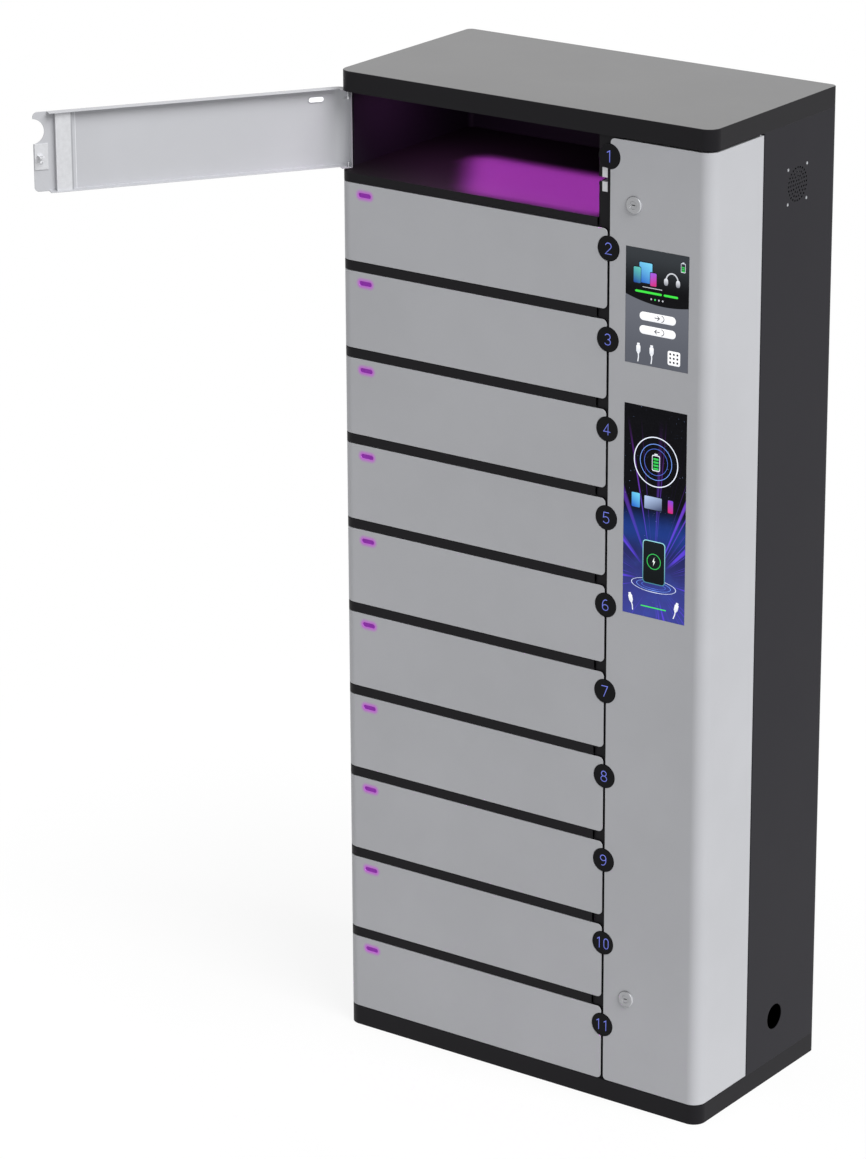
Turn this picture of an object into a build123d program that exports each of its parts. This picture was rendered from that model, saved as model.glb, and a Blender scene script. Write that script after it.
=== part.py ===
from build123d import *
import os

# A free-standing charging locker: eleven compartments with their own doors on the left,
# a service bay behind a tall door on the right. Lengths are in millimetres, +Z is up,
# the front faces -Y, and the origin is the middle of the plinth's underside.
# Door 1 stands open, as the object is shown, and every other door is shut.

# Cabinet
cabinet_height = 1900.0
cabinet_width = 810.0
cabinet_depth = 415.0
plinth_height = 38.5
cap_height = 38.5
front_corner_radius = 25.0
rear_corner_radius = 12.0
panel_sheet = 1.2
tray_sheet = 2.0
cap_edge = 1.0
seat_gap = 0.3

# Compartments and the rails between their doors
compartment_count = 11
rail_height = 17.0
rail_depth = 34.0
shelf_sheet = 1.2

# Side panels
side_front_fold = 10.0
rear_return = 34.0
fold_radius = 1.6

# Base plinth
plinth_top_sheet = 1.5
foot_width = 25.0
foot_thickness = 2.0
crossbeam_width = 60.0

# Centre post, which closes the gap between the doors and the service door
service_door_width = 212.0
door_to_service_gap = 5.5
post_left_lap = 24.25
post_right_lap = 27.75
post_setback = 4.2
post_left_fold = 36.0
post_right_fold = 14.0
divider_lap = 8.0

# Compartment doors
door_sheet = 1.2
door_gap = 1.5
door_return = 18.0
door_flange_past_pin = 7.0
door_ear_width = 20.0
tongue_width = 26.5
tongue_corner_radius = 9.0
stiffener_width = 31.0
stiffener_depth = 9.0
stiffener_foot = 8.0
stiffener_from_tongue = 13.0
light_slot_length = 28.0
light_slot_width = 8.5
light_slot_from_left = 59.0
light_slot_below_top = 20.8
lens_lap = 1.5
lens_thickness = 1.5
open_door_angle = 125.0

# Hinge pins of the doors
pin_radius = 2.0
pin_clearance = 0.05
pin_inset = 5.0
pin_setback = 25.0
lower_pin_reach = 9.0
upper_pin_reach = 18.0
flange_swing_gap = 2.5
spring_barrel_radius = 3.2
spring_barrel_length = 13.0
spring_bore_gap = 0.3
spring_sides = 8
spring_leg_radius = 0.6
spring_leg_drop = 9.0
spring_leg_side = 5.0

# Number badges
badge_radius = 22.5
badge_thickness = 5.0
badge_below_top = 35.5
badge_edge = 0.8
notch_gap = 1.0

# Latches and locks
latch_below_top = 80.0
latch_plate_width = 25.0
latch_plate_height = 48.0
latch_plate_thickness = 1.5
latch_plate_above_hook = 21.5
latch_plate_from_edge = 1.5
hook_width = 10.0
hook_thickness = 2.5
hook_reach = 18.5
catch_window = 5.0
catch_window_from_tip = 3.5
hook_from_edge = 6.5
lock_slot_height = 8.0
lock_slot_depth = 27.0
lock_slot_side_gap = 3.3
lock_nose_width = 11.0
lock_nose_height = 43.5
lock_nose_gap = 0.4
lock_body_width = 18.0
lock_body_height = 64.0
lock_body_depth = 52.0
lock_plug_width = 10.0
lock_plug_height = 16.0
lock_plug_depth = 7.0

# Compartment lamps and charging sockets
lamp_width = 10.0
lamp_height = 5.0
lamp_from_left = 33.0
lamp_length = 480.0
lamp_behind_front = 21.5
socket_plate_width = 46.0
socket_plate_height = 32.0
socket_plate_thickness = 2.5
socket_body_width = 26.0
socket_body_height = 18.0
socket_body_depth = 28.0
socket_behind_front = 167.0
socket_above_floor = 95.0
port_width = 9.0
port_height = 3.2
port_depth = 6.5
port_spacing = 18.0

# Shelf brackets
bracket_leg = 15.0
bracket_thickness = 1.5
bracket_length = 330.0

# Service door
service_sheet = 1.5
service_flange_depth = 166.0
service_top_gap = 3.5
service_bottom_gap = 1.5
service_return = 18.0
service_corner_radius = 8.0
service_inner_fold = 12.0
service_fold_gap = 1.5
service_pin_inset = 5.0
service_flange_past_pin = 5.0
service_swing_gap = 2.4
service_pin_reach = 16.0
display_width = 133.0
display_from_right = 111.5
display_gap = 0.3
display_lip = 4.0
touch_height = 213.0
touch_below_top = 337.75
touch_depth = 22.0
advert_height = 396.5
advert_below_top = 718.0
advert_depth = 16.0

# Cam locks of the service door
lock_from_left = 50.5
upper_lock_below_top = 155.5
lower_lock_above_floor = 219.0
lock_head_radius = 16.0
lock_head_height = 3.5
lock_head_edge = 1.2
lock_barrel_radius = 11.0
lock_barrel_gap = 0.2
lock_nut_radius = 13.5
lock_nut_height = 4.0
lock_plug_radius = 7.5
lock_plug_clearance = 0.05
lock_plug_recess = 0.6
keyway_length = 8.0
keyway_width = 1.8
keyway_depth = 6.0
cam_behind_front = 20.7
cam_thickness = 2.0
cam_width = 15.0
cam_reach = 30.0
cam_gap = 0.3

# Fan behind the perforated part of the right side panel
fan_size = 75.0
fan_depth = 25.0
fan_duct_radius = 35.0
fan_from_back = 132.5
fan_below_top = 154.0
fan_hub_radius = 13.0
fan_blade_count = 7
fan_blade_tip_gap = 1.2
fan_blade_sheet = 1.6
fan_blade_chord = 17.0
fan_blade_pitch = 38.0
fan_axial_gap = 1.5
fan_base_thickness = 3.0
fan_strut_width = 4.0
fan_strut_count = 3
fan_shaft_radius = 1.5
fan_shaft_clearance = 0.05
grille_hole_radius = 2.4
grille_ring_step = 7.6
grille_ring_count = 4
fan_screw_spacing = 63.5
fan_screw_head_radius = 3.4
fan_screw_head_angle = 45.0

# Cable inlet
inlet_radius = 25.0
inlet_from_back = 149.5
inlet_above_floor = 125.5

# Power supply, controller board and air inlet slots in the service bay
supply_width = 115.0
supply_depth = 50.0
supply_height = 215.0
supply_from_right = 50.0
supply_above_floor = 300.0
supply_slot_length = 40.0
supply_slot_width = 4.0
supply_slot_step = 9.0
supply_slot_count = 9
supply_slot_depth = 1.5
board_width = 160.0
board_height = 110.0
board_thickness = 1.6
board_standoff = 8.0
board_standoff_radius = 3.0
board_standoff_inset = 6.0
board_behind_front = 275.0
board_below_top = 420.0
connector_count = 11
connector_step = 12.0
connector_width = 9.0
connector_height = 8.0
connector_depth = 10.0
processor_size = 24.0
processor_height = 3.5
air_slot_length = 60.0
air_slot_width = 6.0
air_slot_step = 14.0
air_slot_count = 6
air_slot_from_right = 110.0
air_slot_above_floor = 150.0

# Places worked out from the sizes above
left_x = -cabinet_width / 2
right_x = cabinet_width / 2
front_y = -cabinet_depth / 2
back_y = cabinet_depth / 2
cap_bottom = cabinet_height - cap_height
bay_height = cap_bottom - plinth_height
opening_height = (bay_height - (compartment_count - 1) * rail_height) / compartment_count
pitch = opening_height + rail_height
door_height = opening_height - 2 * door_gap

service_left_x = right_x - service_door_width
door_right_x = service_left_x - door_to_service_gap
gap_centre_x = (door_right_x + service_left_x) / 2
post_left_x = gap_centre_x - post_left_lap
post_right_x = gap_centre_x + post_right_lap
post_face_y = front_y + post_setback
post_inner_y = post_face_y + panel_sheet
divider_x = post_left_x + panel_sheet

pivot_x = left_x + pin_inset
pivot_y = front_y + pin_setback
side_front_y = pivot_y + door_flange_past_pin + flange_swing_gap
inner_back_y = back_y - 2 * panel_sheet
rail_back_y = front_y + rail_depth

door_left = -pin_inset
door_front = -pin_setback
door_length = door_right_x - left_x
tongue_start = door_left + door_length - tongue_width
hook_centre_x = door_right_x - hook_from_edge - hook_width / 2
lock_slot_right_x = hook_centre_x + hook_width / 2 + lock_slot_side_gap
lock_nose_x = lock_slot_right_x - lock_nose_width / 2

service_front_y = front_y + service_sheet
service_end_y = front_y + service_flange_depth
service_pivot_x = right_x - service_pin_inset
service_pivot_y = service_end_y - service_flange_past_pin
right_panel_front_y = service_end_y + service_swing_gap
service_bottom = plinth_height + service_bottom_gap
service_top = cap_bottom - service_top_gap
service_fold_x = post_right_x + service_fold_gap
display_x = right_x - display_from_right
touch_z = cabinet_height - touch_below_top
advert_z = cabinet_height - advert_below_top
cam_lock_x = service_left_x + lock_from_left
upper_lock_z = cabinet_height - upper_lock_below_top
fan_y = back_y - fan_from_back
fan_z = cabinet_height - fan_below_top
inlet_y = back_y - inlet_from_back
side_inner_x = right_x - panel_sheet


def floor_z(number):
    """Height of the floor of a compartment. Number 1 is at the top."""
    return plinth_height + (compartment_count - number) * pitch


def door_bottom_z(number):
    """Height of a compartment door's lower edge."""
    return floor_z(number) + door_gap


def door_top_z(number):
    """Height of a compartment door's upper edge."""
    return door_bottom_z(number) + door_height


def rest_angle(number):
    """How far a compartment door stands open, in degrees."""
    return open_door_angle if number == 1 else 0.0


def door_plan(number, height):
    """Level plane with its origin on a door's hinge axis and its x axis along the door."""
    along = Vector(1, 0, 0).rotate(Axis.Z, -rest_angle(number))
    return Plane(origin=(pivot_x, pivot_y, height), x_dir=along, z_dir=(0, 0, 1))


def door_face(number, depth):
    """Upright plane that lies depth behind a door's outer face, seen from outside."""
    along = Vector(1, 0, 0).rotate(Axis.Z, -rest_angle(number))
    outwards = Vector(0, -1, 0).rotate(Axis.Z, -rest_angle(number))
    axis_foot = Vector(pivot_x, pivot_y, 0)
    return Plane(origin=axis_foot + outwards * (pin_setback - depth), x_dir=along, z_dir=outwards)


def front_plane(y):
    """Upright plane at y that faces the front. Its local axes are X and Z."""
    return Plane.XZ.offset(-y)


def side_plane(x):
    """Upright plane at x that faces right. Its local axes are Y and Z."""
    return Plane.YZ.offset(x)


def cabinet_outline(inset):
    """Edges of the cabinet's plan, set in by inset."""
    front_radius = front_corner_radius - inset
    rear_radius = rear_corner_radius - inset
    with BuildLine() as outline:
        FilletPolyline(
            (left_x + inset, front_y + inset),
            (right_x - inset, front_y + inset),
            (right_x - inset, back_y - inset),
            (left_x + inset, back_y - inset),
            radius=(front_radius, front_radius, rear_radius, rear_radius),
            close=True,
        )
    return outline.edges()


def finish(builder, name):
    """Labels a finished piece and writes its file."""
    builder.part.label = name
    export_step(builder.part, f"parts/{name}.step")


os.makedirs("parts", exist_ok=True)
numbers = range(1, compartment_count + 1)
shelf_numbers = range(1, compartment_count)

# Base plinth: a folded pan turned over. Its top sheet is the lowest floor, a foot flange
# runs round its rim, and a beam across the middle also reaches the ground.
with BuildPart() as base_plinth:
    with BuildSketch():
        make_face(cabinet_outline(0))
    extrude(amount=plinth_height)
    with BuildSketch(Plane.XY.offset(foot_thickness)):
        make_face(cabinet_outline(tray_sheet))
    extrude(amount=plinth_height - plinth_top_sheet - foot_thickness, mode=Mode.SUBTRACT)
    with BuildSketch():
        Rectangle(
            cabinet_width - 2 * (tray_sheet + foot_width),
            cabinet_depth - 2 * (tray_sheet + foot_width),
        )
    extrude(amount=foot_thickness, mode=Mode.SUBTRACT)
    with BuildSketch(Plane.XZ):
        with Locations((0, plinth_height / 2)):
            Rectangle(crossbeam_width, plinth_height)
        with Locations((0, (foot_thickness + plinth_height - plinth_top_sheet) / 2)):
            Rectangle(
                crossbeam_width - 2 * tray_sheet,
                plinth_height - plinth_top_sheet - foot_thickness,
                mode=Mode.SUBTRACT,
            )
    extrude(amount=cabinet_depth / 2 - tray_sheet, both=True)
finish(base_plinth, "base_plinth")

# Top cap: a folded pan with a slightly softened upper edge
with BuildPart() as top_cap:
    with BuildSketch(Plane.XY.offset(cap_bottom)):
        make_face(cabinet_outline(0))
    extrude(amount=cap_height)
    chamfer(top_cap.faces().sort_by(Axis.Z)[-1].edges(), cap_edge)
    with BuildSketch(Plane.XY.offset(cap_bottom)):
        make_face(cabinet_outline(tray_sheet))
    extrude(amount=cap_height - tray_sheet, mode=Mode.SUBTRACT)
finish(top_cap, "top_cap")

# Ceiling panel inside the cap's rim, which carries the uppermost hinge pins
with BuildPart() as ceiling_panel:
    with BuildSketch(Plane.XY.offset(cap_bottom)):
        make_face(cabinet_outline(tray_sheet + seat_gap))
    extrude(amount=panel_sheet)
finish(ceiling_panel, "ceiling_panel")

# Left side panel, folded inwards at the front and bent round onto the back
with BuildPart() as left_side_panel:
    with BuildSketch(Plane.XY.offset(plinth_height)):
        with BuildLine():
            FilletPolyline(
                (left_x + side_front_fold, side_front_y),
                (left_x, side_front_y),
                (left_x, back_y),
                (left_x + rear_return, back_y),
                radius=(fold_radius, rear_corner_radius),
            )
            offset(amount=panel_sheet, side=Side.RIGHT)
        make_face()
    extrude(amount=bay_height)
finish(left_side_panel, "left_side_panel")

# Right side panel, with the fan's perforation, countersinks for the fan's screws and the
# cable inlet's hole
with BuildPart() as right_side_panel:
    with BuildSketch(Plane.XY.offset(plinth_height)):
        with BuildLine():
            FilletPolyline(
                (right_x - side_front_fold, right_panel_front_y),
                (right_x, right_panel_front_y),
                (right_x, back_y),
                (right_x - rear_return, back_y),
                radius=(fold_radius, rear_corner_radius),
            )
            offset(amount=panel_sheet, side=Side.LEFT)
        make_face()
    extrude(amount=bay_height)
    with BuildSketch(side_plane(right_x)):
        with Locations((fan_y, fan_z)):
            RegularPolygon(grille_hole_radius, 6)
            for ring in range(1, grille_ring_count + 1):
                with PolarLocations(ring * grille_ring_step, 6 * ring):
                    RegularPolygon(grille_hole_radius, 6)
        with Locations((inlet_y, inlet_above_floor)):
            Circle(inlet_radius)
    extrude(amount=-2 * panel_sheet, mode=Mode.SUBTRACT)
    with BuildSketch(side_plane(right_x)):
        with Locations((fan_y, fan_z)):
            with GridLocations(fan_screw_spacing, fan_screw_spacing, 2, 2):
                Circle(fan_screw_head_radius)
    extrude(amount=-panel_sheet, taper=fan_screw_head_angle, mode=Mode.SUBTRACT)
finish(right_side_panel, "right_side_panel")

# Back panel inside the side panels' returns, with air slots low in the service bay
with BuildPart() as back_panel:
    with BuildSketch(front_plane(inner_back_y)):
        with Locations((0, plinth_height + bay_height / 2)):
            Rectangle(cabinet_width - 2 * (rear_corner_radius + seat_gap), bay_height)
        with Locations((right_x - air_slot_from_right, air_slot_above_floor)):
            with GridLocations(0, air_slot_step, 1, air_slot_count):
                Rectangle(air_slot_length, air_slot_width, mode=Mode.SUBTRACT)
    extrude(amount=-panel_sheet)
finish(back_panel, "back_panel")

# Divider wall between the compartments and the service bay, with a cut-out per socket
divider_front_y = post_face_y + post_left_fold - divider_lap
with BuildPart() as divider_wall:
    with BuildSketch(side_plane(divider_x)):
        with Locations(((divider_front_y + inner_back_y) / 2, plinth_height + bay_height / 2)):
            Rectangle(inner_back_y - divider_front_y, bay_height)
        for number in numbers:
            with Locations((front_y + socket_behind_front, floor_z(number) + socket_above_floor)):
                Rectangle(
                    socket_body_width + 2 * seat_gap,
                    socket_body_height + 2 * seat_gap,
                    mode=Mode.SUBTRACT,
                )
    extrude(amount=panel_sheet)
finish(divider_wall, "divider_wall")

# Centre post: a channel whose face lies behind the doors' tongues. Each lock shows through
# a window, and the hook comes in through a slot that is open towards the compartment.
with BuildPart() as centre_post:
    with BuildSketch(Plane.XY.offset(plinth_height)):
        with BuildLine():
            FilletPolyline(
                (post_left_x, post_face_y + post_left_fold),
                (post_left_x, post_face_y),
                (post_right_x, post_face_y),
                (post_right_x, post_face_y + post_right_fold),
                radius=fold_radius,
            )
            offset(amount=panel_sheet, side=Side.LEFT)
        make_face()
    extrude(amount=bay_height)
    with BuildSketch(front_plane(post_face_y)):
        for number in numbers:
            with Locations((lock_nose_x, door_top_z(number) - latch_below_top)):
                Rectangle(lock_nose_width + 2 * lock_nose_gap, lock_nose_height + 2 * lock_nose_gap)
    extrude(amount=-2 * panel_sheet, mode=Mode.SUBTRACT)
    with BuildSketch(front_plane(post_face_y)):
        for number in numbers:
            with Locations((post_left_x, door_top_z(number) - latch_below_top)):
                Rectangle(2 * (lock_slot_right_x - post_left_x), lock_slot_height)
    extrude(amount=-lock_slot_depth, mode=Mode.SUBTRACT)
finish(centre_post, "centre_post")

# Front rails: each wraps round the left corner. Its upper web lies one shelf sheet below
# its top edge and carries the shelf.
with BuildPart() as front_rails:
    for number in shelf_numbers:
        rail_bottom = floor_z(number) - rail_height
        with BuildSketch(Plane.XY.offset(rail_bottom)):
            with BuildLine():
                FilletPolyline(
                    (left_x, rail_back_y),
                    (left_x, front_y),
                    (post_left_x - seat_gap, front_y),
                    (post_left_x - seat_gap, rail_back_y),
                    radius=(0, front_corner_radius, 0, 0),
                    close=True,
                )
            make_face()
        extrude(amount=rail_height)
        for cut_bottom, cut_height in (
            (rail_bottom + panel_sheet, rail_height - 2 * panel_sheet - shelf_sheet),
            (rail_bottom + rail_height - shelf_sheet, shelf_sheet),
        ):
            with BuildSketch(Plane.XY.offset(cut_bottom)):
                with BuildLine():
                    FilletPolyline(
                        (left_x + panel_sheet, rail_back_y),
                        (left_x + panel_sheet, front_y + panel_sheet),
                        (post_left_x, front_y + panel_sheet),
                        (post_left_x, rail_back_y),
                        radius=(0, front_corner_radius - panel_sheet, 0, 0),
                        close=True,
                    )
                make_face()
            extrude(amount=cut_height, mode=Mode.SUBTRACT)
finish(front_rails, "front_rails")

# Shelf sheets: each rests on its rail and its two brackets, is notched round the side
# panel's front fold, and has its rear corner cut off inside the side panel's bend.
with BuildPart() as shelf_panels:
    for number in shelf_numbers:
        shelf_left_x = left_x + panel_sheet + seat_gap
        with BuildSketch(Plane.XY.offset(floor_z(number) - shelf_sheet)):
            with BuildLine():
                FilletPolyline(
                    (shelf_left_x, front_y + panel_sheet + seat_gap),
                    (post_left_x - seat_gap, front_y + panel_sheet + seat_gap),
                    (post_left_x - seat_gap, inner_back_y - seat_gap),
                    (shelf_left_x + rear_corner_radius, inner_back_y - seat_gap),
                    (shelf_left_x, inner_back_y - seat_gap - rear_corner_radius),
                    radius=(front_corner_radius - panel_sheet - seat_gap, 0, 0, 0, 0),
                    close=True,
                )
            make_face()
            with Locations((left_x + side_front_fold / 2, side_front_y + panel_sheet / 2)):
                Rectangle(
                    side_front_fold + 2 * seat_gap,
                    panel_sheet + 2 * seat_gap,
                    mode=Mode.SUBTRACT,
                )
        extrude(amount=shelf_sheet)
finish(shelf_panels, "shelf_panels")

# Shelf brackets: angles on the left side panel and on the divider wall
bracket_middle_y = (rail_back_y + inner_back_y) / 2
with BuildPart() as shelf_brackets:
    with BuildSketch(front_plane(bracket_middle_y)):
        for number in shelf_numbers:
            under_shelf = floor_z(number) - shelf_sheet
            for wall_x, inwards in ((left_x + panel_sheet, 1), (divider_x, -1)):
                with BuildLine():
                    Polyline(
                        (wall_x, under_shelf),
                        (wall_x + inwards * bracket_leg, under_shelf),
                        (wall_x + inwards * bracket_leg, under_shelf - bracket_thickness),
                        (wall_x + inwards * bracket_thickness, under_shelf - bracket_thickness),
                        (wall_x + inwards * bracket_thickness, under_shelf - bracket_leg),
                        (wall_x, under_shelf - bracket_leg),
                        close=True,
                    )
                make_face()
    extrude(amount=bracket_length / 2, both=True)
finish(shelf_brackets, "shelf_brackets")

# Number badges: discs on the post's face, standing in the doors' half-round notches
with BuildPart() as number_badges:
    with BuildSketch(front_plane(post_face_y)):
        for number in numbers:
            with Locations((gap_centre_x, door_top_z(number) - badge_below_top)):
                Circle(badge_radius)
    extrude(amount=badge_thickness)
    chamfer(number_badges.faces().group_by(Axis.Y)[0].edges(), badge_edge)
finish(number_badges, "number_badges")

# Compartment lamps: bars under each ceiling, just behind the doors' returns
with BuildPart() as compartment_lamps:
    with BuildSketch(side_plane(left_x + lamp_from_left)):
        for number in numbers:
            with Locations((front_y + lamp_behind_front, floor_z(number) + opening_height)):
                Rectangle(lamp_width, lamp_height, align=(Align.MIN, Align.MAX))
    extrude(amount=lamp_length)
finish(compartment_lamps, "compartment_lamps")

# Charging sockets: a plate on the compartment's side of the divider, two ports, and the
# body in the service bay
with BuildPart() as charge_sockets:
    socket_spots = [(front_y + socket_behind_front, floor_z(n) + socket_above_floor) for n in numbers]
    with BuildSketch(side_plane(divider_x)):
        with Locations(*socket_spots):
            Rectangle(socket_plate_width, socket_plate_height)
    extrude(amount=-socket_plate_thickness)
    with BuildSketch(side_plane(divider_x)):
        with Locations(*socket_spots):
            Rectangle(socket_body_width, socket_body_height)
    extrude(amount=socket_body_depth)
    with BuildSketch(side_plane(divider_x - socket_plate_thickness)):
        with Locations(*socket_spots):
            with GridLocations(port_spacing, 0, 2, 1):
                Rectangle(port_width, port_height)
    extrude(amount=port_depth, mode=Mode.SUBTRACT)
finish(charge_sockets, "charge_sockets")

# Door locks: each body is seated behind the post's face, its nose fills the window, and a
# slot takes the door's hook
with BuildPart() as door_locks:
    lock_spots = [(lock_nose_x, door_top_z(n) - latch_below_top) for n in numbers]
    with BuildSketch(front_plane(post_inner_y)):
        with Locations(*lock_spots):
            Rectangle(lock_body_width, lock_body_height)
    extrude(amount=-lock_body_depth)
    with BuildSketch(front_plane(post_inner_y)):
        with Locations(*lock_spots):
            Rectangle(lock_nose_width, lock_nose_height)
    extrude(amount=panel_sheet)
    with BuildSketch(front_plane(post_inner_y + lock_body_depth)):
        with Locations(*lock_spots):
            Rectangle(lock_plug_width, lock_plug_height)
    extrude(amount=-lock_plug_depth)
    with BuildSketch(front_plane(post_face_y)):
        for number in numbers:
            with Locations((post_left_x, door_top_z(number) - latch_below_top)):
                Rectangle(2 * (lock_slot_right_x - post_left_x), lock_slot_height)
    extrude(amount=-lock_slot_depth, mode=Mode.SUBTRACT)
finish(door_locks, "door_locks")


# Hinge pins: studs on the floor and under the ceiling of every door's opening, and two for
# the service door, which has wider gaps. Each entry gives the stud's place, the face it
# stands on and its length, which is negative where it points down.
lower_length = door_gap + door_sheet + lower_pin_reach
upper_length = door_gap + door_sheet + upper_pin_reach
service_lower_length = service_bottom_gap + service_sheet + service_pin_reach
service_upper_length = service_top_gap + service_sheet + service_pin_reach
pins = [
    (service_pivot_x, service_pivot_y, plinth_height, service_lower_length),
    (service_pivot_x, service_pivot_y, cap_bottom, -service_upper_length),
]
for number in numbers:
    pins.append((pivot_x, pivot_y, floor_z(number), lower_length))
    pins.append((pivot_x, pivot_y, floor_z(number) + opening_height, -upper_length))

with BuildPart() as hinge_pins:
    for x, y, seat_z, length in pins:
        with BuildSketch(Plane.XY.offset(seat_z)):
            with Locations((x, y)):
                Circle(pin_radius)
        extrude(amount=length)
finish(hinge_pins, "hinge_pins")


def make_door(number):
    """Compartment door: bent sheet with returns, tongue, notch and light slot."""
    bottom_z = door_bottom_z(number)
    top_z = door_top_z(number)
    return_edge = door_front + door_return
    flange_end = door_flange_past_pin
    inner_front = door_front + door_sheet
    with BuildPart() as door:
        # Front, bend and side flange with the returns still filled in between
        with BuildSketch(door_plan(number, bottom_z)):
            with BuildLine():
                FilletPolyline(
                    (tongue_start, door_front),
                    (door_left, door_front),
                    (door_left, flange_end),
                    (door_left + door_ear_width, flange_end),
                    (door_left + door_ear_width, return_edge),
                    (tongue_start, return_edge),
                    radius=(0, front_corner_radius, 0, 0, 0, 0),
                    close=True,
                )
            make_face()
            Circle(pin_radius + pin_clearance, mode=Mode.SUBTRACT)
        extrude(amount=door_height)
        # Room behind the sheet, which leaves the returns at the top and the bottom
        with BuildSketch(door_plan(number, bottom_z + door_sheet)):
            with BuildLine():
                FilletPolyline(
                    (tongue_start, inner_front),
                    (door_left + door_sheet, inner_front),
                    (door_left + door_sheet, flange_end),
                    (tongue_start, flange_end),
                    radius=(0, front_corner_radius - door_sheet, 0, 0),
                    close=True,
                )
            make_face()
        extrude(amount=door_height - 2 * door_sheet, mode=Mode.SUBTRACT)
        # Tongue: the flat end that laps over the post, with rounded corners
        tongue_end = door_left + door_length
        with BuildSketch(door_face(number, 0)):
            with BuildLine():
                FilletPolyline(
                    (tongue_start - door_sheet, bottom_z),
                    (tongue_end, bottom_z),
                    (tongue_end, top_z),
                    (tongue_start - door_sheet, top_z),
                    radius=(0, tongue_corner_radius, tongue_corner_radius, 0),
                    close=True,
                )
            make_face()
        extrude(amount=-door_sheet)
        with BuildSketch(door_face(number, 0)):
            with Locations((gap_centre_x - pivot_x, top_z - badge_below_top)):
                Circle(badge_radius + notch_gap)
            with Locations((door_left + light_slot_from_left, top_z - light_slot_below_top)):
                SlotOverall(light_slot_length, light_slot_width)
        extrude(amount=-door_sheet, mode=Mode.SUBTRACT)
    return door


def make_lens(number):
    """Lens: a round-ended plate behind the door's light slot, which it laps all round."""
    with BuildPart() as lens:
        with BuildSketch(door_face(number, door_sheet)):
            with Locations((door_left + light_slot_from_left, door_top_z(number) - light_slot_below_top)):
                SlotOverall(light_slot_length + 2 * lens_lap, light_slot_width + 2 * lens_lap)
        extrude(amount=-lens_thickness)
    return lens


def make_fittings(number):
    """Stiffening channel, latch bracket with its hook, and the spring round the upper pin."""
    top_z = door_top_z(number)
    hook_z = top_z - latch_below_top
    plate_x = door_left + door_length - latch_plate_from_edge - latch_plate_width / 2
    plate_z = hook_z + latch_plate_above_hook - latch_plate_height / 2
    hook_x = hook_centre_x - pivot_x
    inner_front = door_front + door_sheet
    hook_tip = inner_front + latch_plate_thickness + hook_reach
    channel_right = tongue_start - stiffener_from_tongue
    channel_left = channel_right - stiffener_width
    channel_back = inner_front + stiffener_depth
    with BuildPart() as fittings:
        # Channel, which stands between the door's returns on one foot
        with BuildSketch(door_plan(number, door_bottom_z(number) + door_sheet)):
            with BuildLine():
                Polyline(
                    (channel_right, inner_front),
                    (channel_right, channel_back),
                    (channel_left, channel_back),
                    (channel_left, inner_front + door_sheet),
                    (channel_left - stiffener_foot, inner_front + door_sheet),
                )
                offset(amount=door_sheet, side=Side.LEFT)
            make_face()
        extrude(amount=door_height - 2 * door_sheet)
        with BuildSketch(door_face(number, door_sheet)):
            with Locations((plate_x, plate_z)):
                Rectangle(latch_plate_width, latch_plate_height)
        extrude(amount=-latch_plate_thickness)
        with BuildSketch(door_plan(number, hook_z - hook_thickness / 2)):
            with Locations((hook_x, hook_tip)):
                Rectangle(hook_width, hook_reach, align=(Align.CENTER, Align.MAX))
            with Locations((hook_x, hook_tip - catch_window_from_tip)):
                Rectangle(catch_window, catch_window, align=(Align.CENTER, Align.MAX), mode=Mode.SUBTRACT)
        extrude(amount=hook_thickness)
        # Spring: its coils as a plain sleeve, and the leg that bears on the door
        sleeve_bottom = top_z - door_sheet - seat_gap - spring_barrel_length
        with BuildSketch(door_plan(number, sleeve_bottom)):
            RegularPolygon(spring_barrel_radius, spring_sides)
            RegularPolygon(
                pin_radius + spring_bore_gap,
                spring_sides,
                major_radius=False,
                mode=Mode.SUBTRACT,
            )
        extrude(amount=spring_barrel_length)
        bend_x = front_corner_radius - pin_inset
        bend_y = front_corner_radius - pin_setback
        leg_bend = front_corner_radius - door_sheet - spring_leg_radius - seat_gap
        leg_y = bend_y - (leg_bend**2 - (bend_x - spring_leg_side) ** 2) ** 0.5
        plan = door_plan(number, sleeve_bottom + spring_leg_radius)
        leg_start = plan.from_local_coords(Vector(0, -(pin_radius + spring_bore_gap + spring_leg_radius), 0))
        leg_end = plan.from_local_coords(Vector(spring_leg_side, leg_y, -spring_leg_drop))
        with BuildSketch(Plane(origin=leg_start, z_dir=leg_end - leg_start)):
            RegularPolygon(spring_leg_radius, spring_sides)
        extrude(amount=(leg_end - leg_start).length)
    return fittings


for number in numbers:
    finish(make_door(number), f"door_{number:02d}")
    finish(make_lens(number), f"door_{number:02d}_lens")
    finish(make_fittings(number), f"door_{number:02d}_fittings")

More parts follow.
